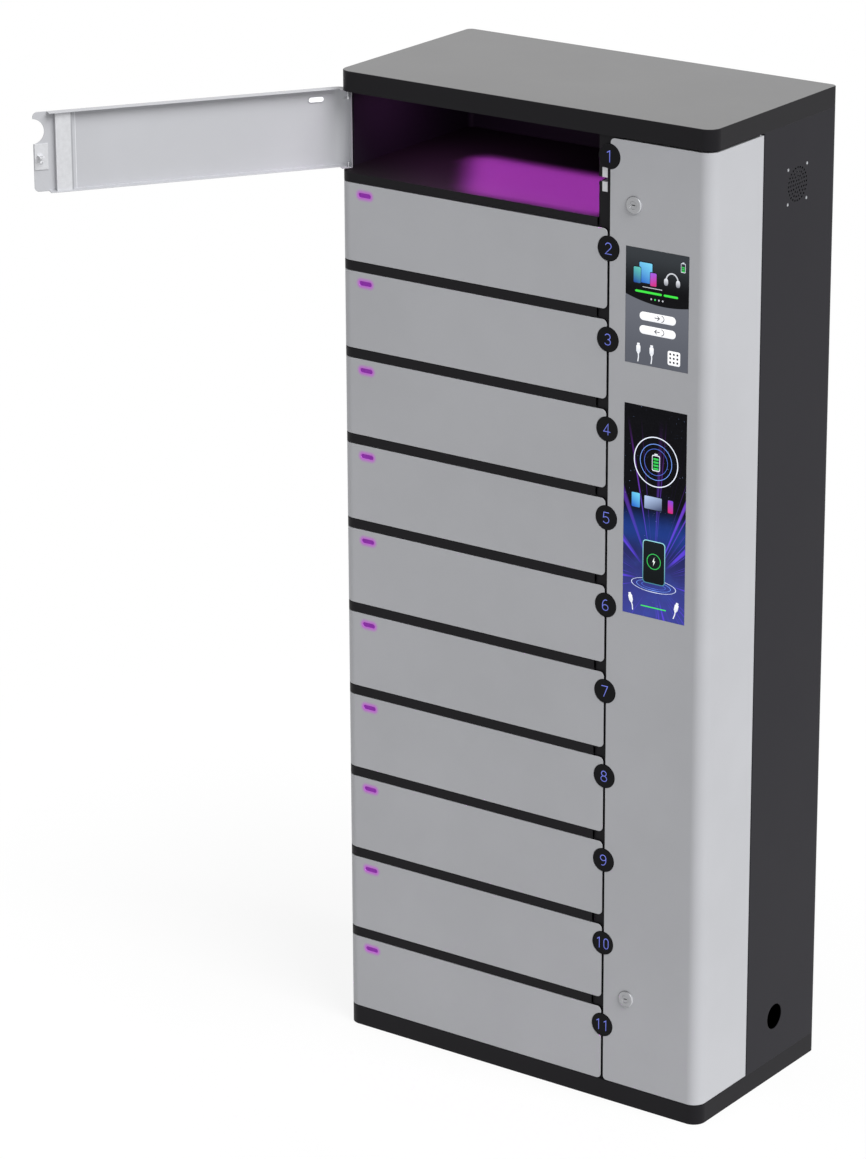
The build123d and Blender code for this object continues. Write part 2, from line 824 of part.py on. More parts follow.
# Service door: wraps round the front right corner. Its flat left margin laps over the post.
with BuildPart() as service_door:
    service_height = service_top - service_bottom
    with BuildSketch(Plane.XY.offset(service_bottom)):
        with BuildLine():
            FilletPolyline(
                (service_fold_x, front_y),
                (right_x, front_y),
                (right_x, service_end_y),
                (right_x - service_return, service_end_y),
                (right_x - service_return, front_y + service_return),
                (service_fold_x, front_y + service_return),
                radius=(0, front_corner_radius, 0, 0, 0, 0),
                close=True,
            )
        make_face()
        with Locations((service_pivot_x, service_pivot_y)):
            Circle(pin_radius + pin_clearance, mode=Mode.SUBTRACT)
    extrude(amount=service_height)
    with BuildSketch(Plane.XY.offset(service_bottom + service_sheet)):
        with BuildLine():
            FilletPolyline(
                (service_fold_x, service_front_y),
                (right_x - service_sheet, service_front_y),
                (right_x - service_sheet, service_end_y),
                (service_fold_x, service_end_y),
                radius=(0, front_corner_radius - service_sheet, 0, 0),
                close=True,
            )
        make_face()
    extrude(amount=service_height - 2 * service_sheet, mode=Mode.SUBTRACT)
    # Inner fold beside the post
    with BuildSketch(Plane.XY.offset(service_bottom)):
        with Locations((service_fold_x, front_y)):
            Rectangle(service_sheet, service_inner_fold, align=(Align.MIN, Align.MIN))
    extrude(amount=service_height)
    # Flat margin with rounded corners and one notch per badge
    with BuildSketch(front_plane(front_y)):
        with BuildLine():
            FilletPolyline(
                (service_fold_x + service_sheet, service_bottom),
                (service_fold_x + service_sheet, service_top),
                (service_left_x, service_top),
                (service_left_x, service_bottom),
                radius=(0, 0, service_corner_radius, service_corner_radius),
                close=True,
            )
        make_face()
    extrude(amount=-service_sheet)
    with BuildSketch(front_plane(front_y)):
        for number in numbers:
            with Locations((gap_centre_x, door_top_z(number) - badge_below_top)):
                Circle(badge_radius + notch_gap)
        with Locations((display_x, touch_z)):
            Rectangle(display_width, touch_height)
        with Locations((display_x, advert_z)):
            Rectangle(display_width, advert_height)
        with Locations((cam_lock_x, upper_lock_z), (cam_lock_x, lower_lock_above_floor)):
            Circle(lock_barrel_radius + lock_barrel_gap)
    extrude(amount=-service_sheet, mode=Mode.SUBTRACT)
finish(service_door, "service_door")


def make_display(centre_z, height, depth):
    """Display: a glass front flush in the door's window, and its housing behind the sheet."""
    with BuildPart() as display:
        with BuildSketch(front_plane(service_front_y)):
            with Locations((display_x, centre_z)):
                Rectangle(display_width - 2 * display_gap, height - 2 * display_gap)
        extrude(amount=service_sheet)
        with BuildSketch(front_plane(service_front_y)):
            with Locations((display_x, centre_z)):
                Rectangle(display_width + 2 * display_lip, height + 2 * display_lip)
        extrude(amount=-depth)
    return display


finish(make_display(touch_z, touch_height, touch_depth), "touch_screen")
finish(make_display(advert_z, advert_height, advert_depth), "advert_panel")

# Cam lock bodies: head, barrel and nut, bored for the plug
cam_face_y = front_y + cam_behind_front
lock_heights = (upper_lock_z, lower_lock_above_floor)
with BuildPart() as cam_lock_bodies:
    for lock_z in lock_heights:
        with BuildSketch(front_plane(front_y)):
            with Locations((cam_lock_x, lock_z)):
                Circle(lock_head_radius)
        extrude(amount=lock_head_height)
    chamfer(cam_lock_bodies.faces().group_by(Axis.Y)[0].edges(), lock_head_edge)
    for lock_z in lock_heights:
        with BuildSketch(front_plane(front_y)):
            with Locations((cam_lock_x, lock_z)):
                Circle(lock_barrel_radius)
        extrude(amount=-(cam_behind_front - cam_gap))
        with BuildSketch(front_plane(service_front_y)):
            with Locations((cam_lock_x, lock_z)):
                RegularPolygon(lock_nut_radius, 6)
        extrude(amount=-lock_nut_height)
        with BuildSketch(front_plane(front_y - lock_head_height)):
            with Locations((cam_lock_x, lock_z)):
                Circle(lock_plug_radius + lock_plug_clearance)
        extrude(amount=-(cam_behind_front + lock_head_height), mode=Mode.SUBTRACT)
finish(cam_lock_bodies, "cam_lock_bodies")


def make_plug(lock_z):
    """Lock plug with its keyway and the cam, which hangs down while the door is free."""
    face_y = front_y - lock_head_height + lock_plug_recess
    with BuildPart() as plug:
        with BuildSketch(front_plane(face_y)):
            with Locations((cam_lock_x, lock_z)):
                Circle(lock_plug_radius)
        extrude(amount=-(cam_face_y - face_y))
        with BuildSketch(front_plane(face_y)):
            with Locations((cam_lock_x, lock_z)):
                SlotOverall(keyway_length, keyway_width)
        extrude(amount=-keyway_depth, mode=Mode.SUBTRACT)
        with BuildSketch(front_plane(cam_face_y)):
            with Locations((cam_lock_x, lock_z - cam_reach / 2)):
                SlotCenterToCenter(cam_reach, cam_width, rotation=90)
        extrude(amount=-cam_thickness)
    return plug


finish(make_plug(upper_lock_z), "upper_lock_plug")
finish(make_plug(lower_lock_above_floor), "lower_lock_plug")

# Fan frame: square housing with a round duct, three struts and the motor's seat
fan_inner_x = side_inner_x - fan_depth
with BuildPart() as fan_frame:
    with BuildSketch(side_plane(side_inner_x)):
        with Locations((fan_y, fan_z)):
            Rectangle(fan_size, fan_size)
            Circle(fan_duct_radius, mode=Mode.SUBTRACT)
    extrude(amount=-fan_depth)
    with BuildSketch(side_plane(fan_inner_x)):
        with Locations((fan_y, fan_z)):
            Circle(fan_hub_radius)
            with PolarLocations(fan_duct_radius / 2, fan_strut_count):
                Rectangle(fan_duct_radius + fan_strut_width / 2, fan_strut_width)
            Circle(fan_shaft_radius + fan_shaft_clearance, mode=Mode.SUBTRACT)
    extrude(amount=fan_base_thickness)
finish(fan_frame, "fan_frame")

# Fan impeller: hub, pitched blades and the shaft in the motor's seat. Its plane has Z
# along the shaft, and each blade's plane has Z along the blade.
fan_plane = Plane(origin=(fan_inner_x, fan_y, fan_z), x_dir=(0, 1, 0), z_dir=(1, 0, 0))
with BuildPart(fan_plane) as fan_impeller:
    hub_height = fan_depth - fan_base_thickness - 2 * fan_axial_gap
    with Locations((0, 0, fan_base_thickness + fan_axial_gap)):
        Cylinder(fan_hub_radius, hub_height, align=(Align.CENTER, Align.CENTER, Align.MIN))
    Cylinder(
        fan_shaft_radius,
        fan_base_thickness + fan_axial_gap,
        align=(Align.CENTER, Align.CENTER, Align.MIN),
    )
    blade_root = fan_hub_radius - fan_blade_sheet
    for turn in range(fan_blade_count):
        outwards = Vector(0, 1, 0).rotate(Axis.X, turn * 360 / fan_blade_count)
        blade_plane = Plane(
            origin=Vector(fan_inner_x + (fan_base_thickness + fan_depth) / 2, fan_y, fan_z) + outwards * blade_root,
            x_dir=(1, 0, 0),
            z_dir=outwards,
        )
        with BuildSketch(blade_plane):
            Rectangle(fan_blade_chord, fan_blade_sheet, rotation=fan_blade_pitch)
        extrude(amount=fan_duct_radius - fan_blade_tip_gap - blade_root)
finish(fan_impeller, "fan_impeller")

# Power supply on the back panel, with vent slots in its face
with BuildPart() as power_supply:
    supply_x = right_x - supply_from_right - supply_width / 2
    supply_z = supply_above_floor + supply_height / 2
    with BuildSketch(front_plane(inner_back_y)):
        with Locations((supply_x, supply_z)):
            Rectangle(supply_width, supply_height)
    extrude(amount=supply_depth)
    with BuildSketch(front_plane(inner_back_y - supply_depth)):
        with Locations((supply_x, supply_z)):
            with GridLocations(0, supply_slot_step, 1, supply_slot_count):
                Rectangle(supply_slot_length, supply_slot_width)
    extrude(amount=-supply_slot_depth, mode=Mode.SUBTRACT)
finish(power_supply, "power_supply")

# Controller board on standoffs from the divider wall, with one connector per lock
with BuildPart() as controller_board:
    board_x = divider_x + panel_sheet
    board_y = front_y + board_behind_front
    board_z = cabinet_height - board_below_top
    board_face_x = board_x + board_standoff + board_thickness
    with BuildSketch(side_plane(board_x)):
        with Locations((board_y, board_z)):
            with GridLocations(
                board_width - 2 * board_standoff_inset,
                board_height - 2 * board_standoff_inset,
                2,
                2,
            ):
                RegularPolygon(board_standoff_radius, 6)
    extrude(amount=board_standoff)
    with BuildSketch(side_plane(board_x + board_standoff)):
        with Locations((board_y, board_z)):
            Rectangle(board_width, board_height)
    extrude(amount=board_thickness)
    with BuildSketch(side_plane(board_face_x)):
        with Locations((board_y, board_z - board_height / 2 + connector_height)):
            with GridLocations(connector_step, 0, connector_count, 1):
                Rectangle(connector_width, connector_height)
    extrude(amount=connector_depth)
    with BuildSketch(side_plane(board_face_x)):
        with Locations((board_y, board_z + processor_size / 2)):
            Rectangle(processor_size, processor_size)
    extrude(amount=processor_height)
finish(controller_board, "controller_board")
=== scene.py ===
"""Looks of a charging locker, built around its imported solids.

The file is laid out as an add-on: settings, one operator for each group of like pieces,
one for the stage, and a panel that lists them. Lengths are in metres, +Z is up, the front
faces -Y, and every finished piece has its place in its mesh.
"""

import functools
import math

import bpy
import numpy as np
from mathutils import Matrix, Vector


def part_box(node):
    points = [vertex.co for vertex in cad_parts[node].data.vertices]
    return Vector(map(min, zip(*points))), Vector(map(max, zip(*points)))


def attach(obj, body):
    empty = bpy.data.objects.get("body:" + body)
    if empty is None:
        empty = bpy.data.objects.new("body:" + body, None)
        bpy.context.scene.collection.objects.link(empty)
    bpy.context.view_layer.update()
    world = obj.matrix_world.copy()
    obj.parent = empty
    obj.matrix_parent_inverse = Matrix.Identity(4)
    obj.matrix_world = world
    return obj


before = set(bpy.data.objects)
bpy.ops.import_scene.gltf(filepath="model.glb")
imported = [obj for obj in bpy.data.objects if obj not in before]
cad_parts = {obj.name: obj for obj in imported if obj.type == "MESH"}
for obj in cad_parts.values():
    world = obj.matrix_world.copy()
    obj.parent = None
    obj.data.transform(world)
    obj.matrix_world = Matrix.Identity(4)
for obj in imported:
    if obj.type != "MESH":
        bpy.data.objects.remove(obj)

bl_info = {
    "name": "Charging Locker Looks",
    "version": (1, 0, 0),
    "blender": (4, 5, 0),
    "location": "View3D > Sidebar > Locker",
    "description": "Finishes, small pieces and studio for a charging locker",
    "category": "Object",
}

DOOR_COUNT = 11
DOOR_NUMBERS = range(1, DOOR_COUNT + 1)
CABINET = "cabinet"
SERVICE = "service_access_door"

# Places that the solids share with the pieces made here
HINGE_X, HINGE_Y = -0.400, -0.1825
OPEN_DOOR_TURN = math.radians(-125.0)
FRONT_Y = -0.2075
DOOR_SHEET, LATCH_PLATE = 0.0012, 0.0015
HOOK_BELOW_TOP = 0.080
RIVET_X, RIVET_BELOW_HOOK = 0.1744, 0.014
BADGE_X, BADGE_BELOW_TOP = 0.19025, 0.0355
SLOT_X, SLOT_BELOW_TOP = -0.346, 0.0208
SLOT_HALF_RUN, SLOT_RADIUS = 0.00975, 0.00425
CHANNEL_EDGE_X, FOOT_EDGE_X = 0.117, 0.109
SCREEN_X, TOUCH_Z, ADVERT_Z = 0.2935, 1.56225, 1.182
FAN_Y, FAN_Z, FAN_SCREW_STEP = 0.075, 1.746, 0.0635
FLOOR_BELOW_TOP, SOCKET_ABOVE_FLOOR = 0.14877, 0.095
SOCKET_Y, HALF_PORT_STEP = -0.0405, 0.009
BOARD_FACE, TERMINAL_ROW = 0.0096, 0.022

# Directions, and how fine a metal's grain is along X, Y and Z
RIGHT, FORWARD, BACKWARD = (1.0, 0.0, 0.0), (0.0, -1.0, 0.0), (0.0, 1.0, 0.0)
EVEN_GRAIN, LEVEL_GRAIN = (900.0, 900.0, 900.0), (60.0, 2500.0, 2500.0)
PIN_GRAIN, CASE_GRAIN = (2500.0, 2500.0, 60.0), (2500.0, 2500.0, 80.0)
BLACK, WHITE = (0.0, 0.0, 0.0), (1.0, 1.0, 1.0)

# The photograph's camera, with the focal length in its own pixels
CAMERA_PLACE = (4.532875, -6.734160, 3.821545)
CAMERA_TURNS = (-35.9243, 19.5577, -0.2803)
FOCAL_PIXELS, IMAGE_HEIGHT, SENSOR = 4592.41, 1159, 36.0


def screen_colour(red, green, blue):
    """Linear colour of three screen values from 0 to 255."""
    values = np.array([red, green, blue]) / 255
    linear = np.where(values <= 0.04045, values / 12.92, ((values + 0.055) / 1.055) ** 2.4)
    return tuple(linear.tolist())


def door_node(number):
    """Name of a compartment door's sheet in the frame."""
    return f"door_{number:02d}"


def door_body(number):
    """Name of the body that a compartment door's pieces ride on."""
    return f"compartment_door_{number:02d}"


DOOR_TOPS = {n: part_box(door_node(n))[1].z for n in DOOR_NUMBERS}
DOOR_PITCH = DOOR_TOPS[1] - DOOR_TOPS[2]
BADGE_FACE_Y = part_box("number_badges")[0].y
SIDE_FACE_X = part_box("right_side_panel")[1].x
SOCKET_FACE_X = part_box("charge_sockets")[0].x
BOARD_LOW, BOARD_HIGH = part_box("controller_board")
SUPPLY_LOW, SUPPLY_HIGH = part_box("power_supply")


# ---------------------------------------------------------------- settings


def colour_setting(label, about, values):
    """Colour setting whose default is given in screen values."""
    return bpy.props.FloatVectorProperty(
        name=label,
        description=about,
        subtype="COLOR",
        size=3,
        min=0.0,
        max=1.0,
        default=screen_colour(*values),
    )


def number_setting(label, about, value, **limits):
    """Number setting, never below nought."""
    return bpy.props.FloatProperty(name=label, description=about, default=value, min=0.0, **limits)


def length_setting(label, about, value):
    """Length setting in metres."""
    return number_setting(label, about, value, unit="LENGTH", subtype="DISTANCE", precision=5)


def share_setting(label, about, value, most=1.0):
    """Plain factor setting."""
    return number_setting(label, about, value, max=most, precision=3)


class LockerFinishSettings(bpy.types.PropertyGroup):
    """Colours and surface values of the locker's finishes."""

    silver: colour_setting("Silver", "Powder coat of the doors", (185, 186, 190))
    frame_black: colour_setting(
        "Frame black", "Powder coat of the cap, plinth, post and rails", (24, 23, 26)
    )
    side_black: colour_setting(
        "Side black", "Powder coat of the side and back panels", (31, 30, 35)
    )
    inner_black: colour_setting("Inner black", "Powder coat inside the compartments", (25, 25, 25))
    badge_black: colour_setting("Badge black", "Plastic of the number badges", (12, 12, 15))
    digit_blue: colour_setting("Digit blue", "Print of the badge numbers", (118, 128, 224))
    lamp_violet: colour_setting("Lamp violet", "Light of the compartment lamps", (232, 84, 248))
    zinc: colour_setting("Zinc", "Plated steel of latches, pins and springs", (204, 205, 208))
    lock_silver: colour_setting("Lock silver", "Cast zinc of the cam lock heads", (178, 179, 182))
    silver_roughness: share_setting("Silver roughness", "Roughness of the doors' coat", 0.42)
    black_roughness: share_setting("Black roughness", "Roughness of the black coats", 0.5)
    peel: length_setting("Peel", "Size of the coat's fine waves", 0.0011)
    peel_depth: length_setting("Peel depth", "Depth of the coat's fine waves", 0.00003)
    edge_round: length_setting(
        "Edge rounding", "Radius over which a folded edge catches light", 0.0009
    )


class LockerSizeSettings(bpy.types.PropertyGroup):
    """Sizes of the small pieces."""

    digit_height: length_setting("Digit height", "Height of a badge number", 0.0202)
    digit_stroke: length_setting("Digit stroke", "Width of a number's stroke", 0.0015)
    digit_relief: length_setting("Digit relief", "How far a number stands out", 0.00025)
    icon_relief: length_setting("Icon relief", "How far a screen icon stands out", 0.0001)
    coil_radius: length_setting("Coil radius", "Radius of the hinge spring's coils", 0.00315)
    coil_wire: length_setting("Coil wire", "Radius of the hinge spring's wire", 0.0006)
    coil_length: length_setting("Coil length", "Length of the hinge spring's coils", 0.0118)
    rivet_radius: length_setting("Rivet radius", "Radius of a latch rivet's head", 0.003)
    rivet_height: length_setting("Rivet height", "Height of a latch rivet's head", 0.0011)
    screw_radius: length_setting("Screw radius", "Radius of a fan screw's head", 0.00305)
    screw_height: length_setting("Screw height", "Height of a fan screw's head", 0.0002)


class LockerStageSettings(bpy.types.PropertyGroup):
    """Studio round the locker."""

    sun_strength: share_setting("Sun strength", "Broad light from the upper right", 3.52, 20.0)
    sun_width: number_setting(
        "Sun width",
        "Angle over which the broad light spreads",
        math.radians(40.0),
        subtype="ANGLE",
        unit="ROTATION",
        max=math.pi,
    )
    pool_power: number_setting(
        "Pool power", "Violet light on the open compartment's floor", 7.8, unit="POWER"
    )
    glow_power: number_setting(
        "Glow power", "Weak violet light in the open compartment", 0.45, unit="POWER"
    )
    ambient: share_setting("Ambient", "Light of the surrounding studio", 0.45)
    floor_radius: length_setting("Floor radius", "Radius of the pale floor", 7.0)


# ---------------------------------------------------------------- surfaces


def hold(name, data):
    """Object that holds a mesh, lamp or camera, placed in the scene."""
    made = bpy.data.objects.new(name, data)
    bpy.context.scene.collection.objects.link(made)
    return made


class Skin:
    """Points, faces and tints of one piece, gathered from closed surfaces."""

    def __init__(self):
        self.points, self.tints, self.quads, self.tris = [], [], [], []
        self.count = 0

    def add(self, rings, tint=WHITE, closed=False):
        """Adds one closed surface, with one tint or a tint for each of its points.

        rings is an array of closed loops, all with the same number of points: loop i and
        loop i + 1 are joined by quads. The first and last loops are closed by a fan about
        their mean point, or joined to each other where closed is true. The faces are
        turned outwards where the signed volume, a sixth of the sum over the triangles of
        a . (b x c), is negative.
        """
        loops, size = rings.shape[:2]
        i, j = np.indices((loops if closed else loops - 1, size))
        low, high = i * size, (i + 1) % loops * size
        beside = (j + 1) % size
        quads = np.stack([low + j, low + beside, high + beside, high + j], -1).reshape(-1, 4)
        points, tints = (np.broadcast_to(v, rings.shape).reshape(-1, 3) for v in (rings, tint))
        tris = np.zeros((0, 3), int)
        if not closed:
            points, tints = (
                np.vstack([v, v[:size].mean(0), v[-size:].mean(0)]) for v in (points, tints)
            )
            first, tip = np.arange(size), np.full(size, loops * size)
            last = first + (loops - 1) * size
            fans = ((np.roll(first, -1), first, tip), (last, np.roll(last, -1), tip + 1))
            tris = np.vstack([np.stack(fan, -1) for fan in fans])
        parts = np.vstack([quads[:, [0, 1, 2]], quads[:, [0, 2, 3]], tris])
        a, b, c = (points[parts[:, k]] - points[0] for k in range(3))
        if np.einsum("ij,ij->", a, np.cross(b, c)) < 0:
            quads, tris = quads[:, ::-1], tris[:, ::-1]
        self.points.append(points)
        self.tints.append(np.column_stack([tints, np.ones(len(tints))]))
        self.quads.append(quads + self.count)
        self.tris.append(tris + self.count)
        self.count += len(points)

    def piece(self, name, material, body, slot, smooth_below=40.0, tinted=False):
        """Makes the piece, which rides on its body and takes the given material. The slot is not
        used.
        """
        mesh = bpy.data.meshes.new(name)
        faces = [*np.vstack(self.quads).tolist(), *np.vstack(self.tris).tolist()]
        mesh.from_pydata(np.vstack(self.points).tolist(), [], faces)
        if tinted:
            shades = mesh.color_attributes.new("Tint", "FLOAT_COLOR", "POINT")
            shades.data.foreach_set("color", np.vstack(self.tints).astype(np.float32).ravel())
        mesh.materials.append(material)
        mesh.polygons.foreach_set("use_smooth", [True] * len(mesh.polygons))
        mesh.set_sharp_from_angle(angle=math.radians(smooth_below))
        mesh.update()
        mesh.validate()
        made = hold(name, mesh)
        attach(made, body)


def turned_with_door(points, number):
    """Points given for a shut door, turned about the hinge where the door stands open."""
    if number != 1:
        return points
    cosine, sine = math.cos(OPEN_DOOR_TURN), math.sin(OPEN_DOOR_TURN)
    moved = np.array(points, float)
    x, y = moved[..., 0] - HINGE_X, moved[..., 1] - HINGE_Y
    moved[..., 0] = HINGE_X + cosine * x - sine * y
    moved[..., 1] = HINGE_Y + sine * x + cosine * y
    return moved


def door_pieces(name, steel, surface):
    """One piece for each compartment door. surface gives its rings from a door's top."""
    for number in DOOR_NUMBERS:
        skin = Skin()
        skin.add(turned_with_door(surface(DOOR_TOPS[number]), number))
        skin.piece(f"{name}_{number:02d}", steel, door_body(number), "zinc_steel")


def whole_turn(count):
    """Angles spaced evenly round a whole turn."""
    return np.linspace(0, 2 * math.pi, count, endpoint=False)


def unit(vectors):
    """The same directions at length 1."""
    return vectors / np.linalg.norm(vectors, axis=-1, keepdims=True)


def on_front(flat, origin, lift):
    """Flat points (u to the right, w up) on a front face at origin, lift in front of it."""
    x, y, z = origin
    away = np.broadcast_to(y - np.asarray(lift), flat.shape[:-1])
    return np.stack([x + flat[..., 0], away, z + flat[..., 1]], -1)


def drawn_in(outline, width):
    """The outline with each of its points moved towards its middle by the width."""
    middle = outline.mean(0)
    reach = np.linalg.norm(outline - middle, axis=1, keepdims=True)
    return middle + (outline - middle) * (1 - width / reach)


def plate(outline, origin, relief):
    """Thin plate on a front face: the outline at the face, the same outline at four fifths
    of the relief, and the outline drawn in by a fifth of the relief at the full relief."""
    edge = 0.2 * relief
    levels = ((outline, 0.0), (outline, relief - edge), (drawn_in(outline, edge), relief))
    return np.stack([on_front(flat, origin, lift) for flat, lift in levels])


def band(outline, width, origin, relief):
    """Closed band along an outline: at each of its points, a rectangular section that runs
    from the outline to the outline drawn in towards its middle by the width."""
    inner = drawn_in(outline, width)
    corners = ((outline, 0.0), (outline, relief), (inner, relief), (inner, 0.0))
    return np.stack([on_front(flat, origin, lift) for flat, lift in corners], axis=1)


def oval(width, height, power=2.0, count=48, centre=(0.0, 0.0)):
    """Superellipse: |2u / width| ^ power + |2w / height| ^ power = 1, which is an ellipse at
    power 2 and nears a rectangle as the power grows."""
    turn = whole_turn(count)
    way = np.stack([np.cos(turn), np.sin(turn)], -1)
    return np.sign(way) * np.abs(way) ** (2 / power) * (width / 2, height / 2) + centre


def rounded(width, height, radius, centre=(0.0, 0.0)):
    """Rectangle with round corners: four quarter circles of the radius, one per corner."""
    corners = []
    for k, (side, rise) in enumerate(((1, 1), (-1, 1), (-1, -1), (1, -1))):
        middle = (side * (width / 2 - radius), rise * (height / 2 - radius))
        corners.append(arc(middle, (radius, radius), 90 * k, 90 * k + 90, 6))
    return np.vstack(corners) + centre


def arc(centre, radii, start, end, count=14):
    """Points of an ellipse from one angle to another, in degrees, anticlockwise from +u."""
    turn = np.radians(np.linspace(start, end, count))
    return centre + np.stack([np.cos(turn), np.sin(turn)], -1) * radii


def stroke(path, width, origin, relief, joined=False):
    """Pen stroke on a front face: at each point of the path, a low, slightly domed section
    laid along the path's sideways direction, lengthened by 1 / cos(half the bend) at a
    corner. An open stroke ends in half rounds, where the width falls as the cosine of the
    way out."""
    if joined:
        before, after = path - np.roll(path, 1, 0), np.roll(path, -1, 0) - path
    else:
        steps = np.diff(path, axis=0)
        before, after = np.vstack([steps[:1], steps]), np.vstack([steps, steps[-1:]])
    before, after = unit(before), unit(after)
    along = unit(before + after)
    side = np.stack([-along[:, 1], along[:, 0]], -1)
    half = width / 2 / np.maximum(np.einsum("ij,ij->i", along, after), 0.5)
    if not joined:
        out = np.radians([35.0, 65.0, 85.0])
        tail = path[-1] + np.outer(np.sin(out) * width / 2, along[-1])
        head = (path[0] - np.outer(np.sin(out) * width / 2, along[0]))[::-1]
        path = np.vstack([head, path, tail])
        side = np.vstack([np.repeat(side[:1], 3, 0), side, np.repeat(side[-1:], 3, 0)])
        half = np.concatenate([np.cos(out)[::-1] * width / 2, half, np.cos(out) * width / 2])
    across = np.array([-1.0, -0.9, 0.0, 0.9, 1.0])
    rise = np.array([0.0, 0.985, 1.0, 0.985, 0.0])
    flat = path[:, None, :] + side[:, None, :] * (half[:, None] * across)[..., None]
    return on_front(flat, origin, rise * relief)


def turned_profile(radii, heights, centre, outwards, count=24):
    """Surface of revolution: each profile point (radius, height) goes round the level axis
    that leaves the centre in the outwards direction."""
    outwards = np.asarray(outwards)
    aside = unit(np.cross(outwards, (0.0, 0.0, 1.0)))
    turn = whole_turn(count)[:, None]
    round_trip = np.cos(turn) * aside + np.sin(turn) * np.cross(outwards, aside)
    return centre + radii[:, None, None] * round_trip + heights[:, None, None] * outwards


def screw_head(radius, height, centre, outwards, cone=0.0):
    """Domed head on a 45 degree cone, with a cross recess. The dome's height falls with the
    square of the radius. Within the recess's share of the radius the head sinks by a fifth
    of the radius, where the angle is within a sixth of a quarter turn of an arm."""
    recess, count = 0.55, 32
    share = np.array([1.0 - cone / radius, 1.0, 0.98, 0.85, 0.7, recess, recess - 0.04, 0.3, 0.12])
    rise = np.array([0.0, 0.0, 0.35, 0.72, 0.88, 0.95, 0.97, 1.0, 1.0]) * height
    rise[0] = -max(cone, 0.0001)
    rings = turned_profile(share * radius, rise, centre, outwards, count)
    in_arm = np.abs((whole_turn(count) / (math.pi / 2) + 0.5) % 1 - 0.5) < 0.17
    share = share[:, None]
    sink = np.where((share < recess) & (in_arm | (share < 0.2)), 0.2 * radius, 0.0)
    return rings - sink[..., None] * outwards


def helix(radius, wire, length, turns, centre):
    """Coil about a vertical axis: the wire's centre is at (radius cos t, radius sin t,
    length t / whole turn), and its section is a circle across the coil's direction."""
    t = np.linspace(0, 2 * math.pi * turns, 18 * turns + 1)
    rise = length / (2 * math.pi * turns)
    outwards = np.stack([np.cos(t), np.sin(t), np.zeros_like(t)], -1)
    middle = radius * outwards + np.outer(rise * t, (0.0, 0.0, 1.0))
    along = unit(np.stack([-radius * np.sin(t), radius * np.cos(t), np.full_like(t, rise)], -1))
    upwards = np.cross(outwards, along)
    turn = whole_turn(6)[:, None]
    section = np.cos(turn) * outwards[:, None] + np.sin(turn) * upwards[:, None]
    return centre + middle[:, None] + wire * section


def rings_along_x(sections, reach, place):
    """Each section of points (y, z) at its own reach along X, all about one place."""
    along = np.broadcast_to(np.asarray(reach)[:, None, None], (*sections.shape[:2], 1))
    return np.concatenate([along, sections], -1) + place


# ---------------------------------------------------------------- material nodes


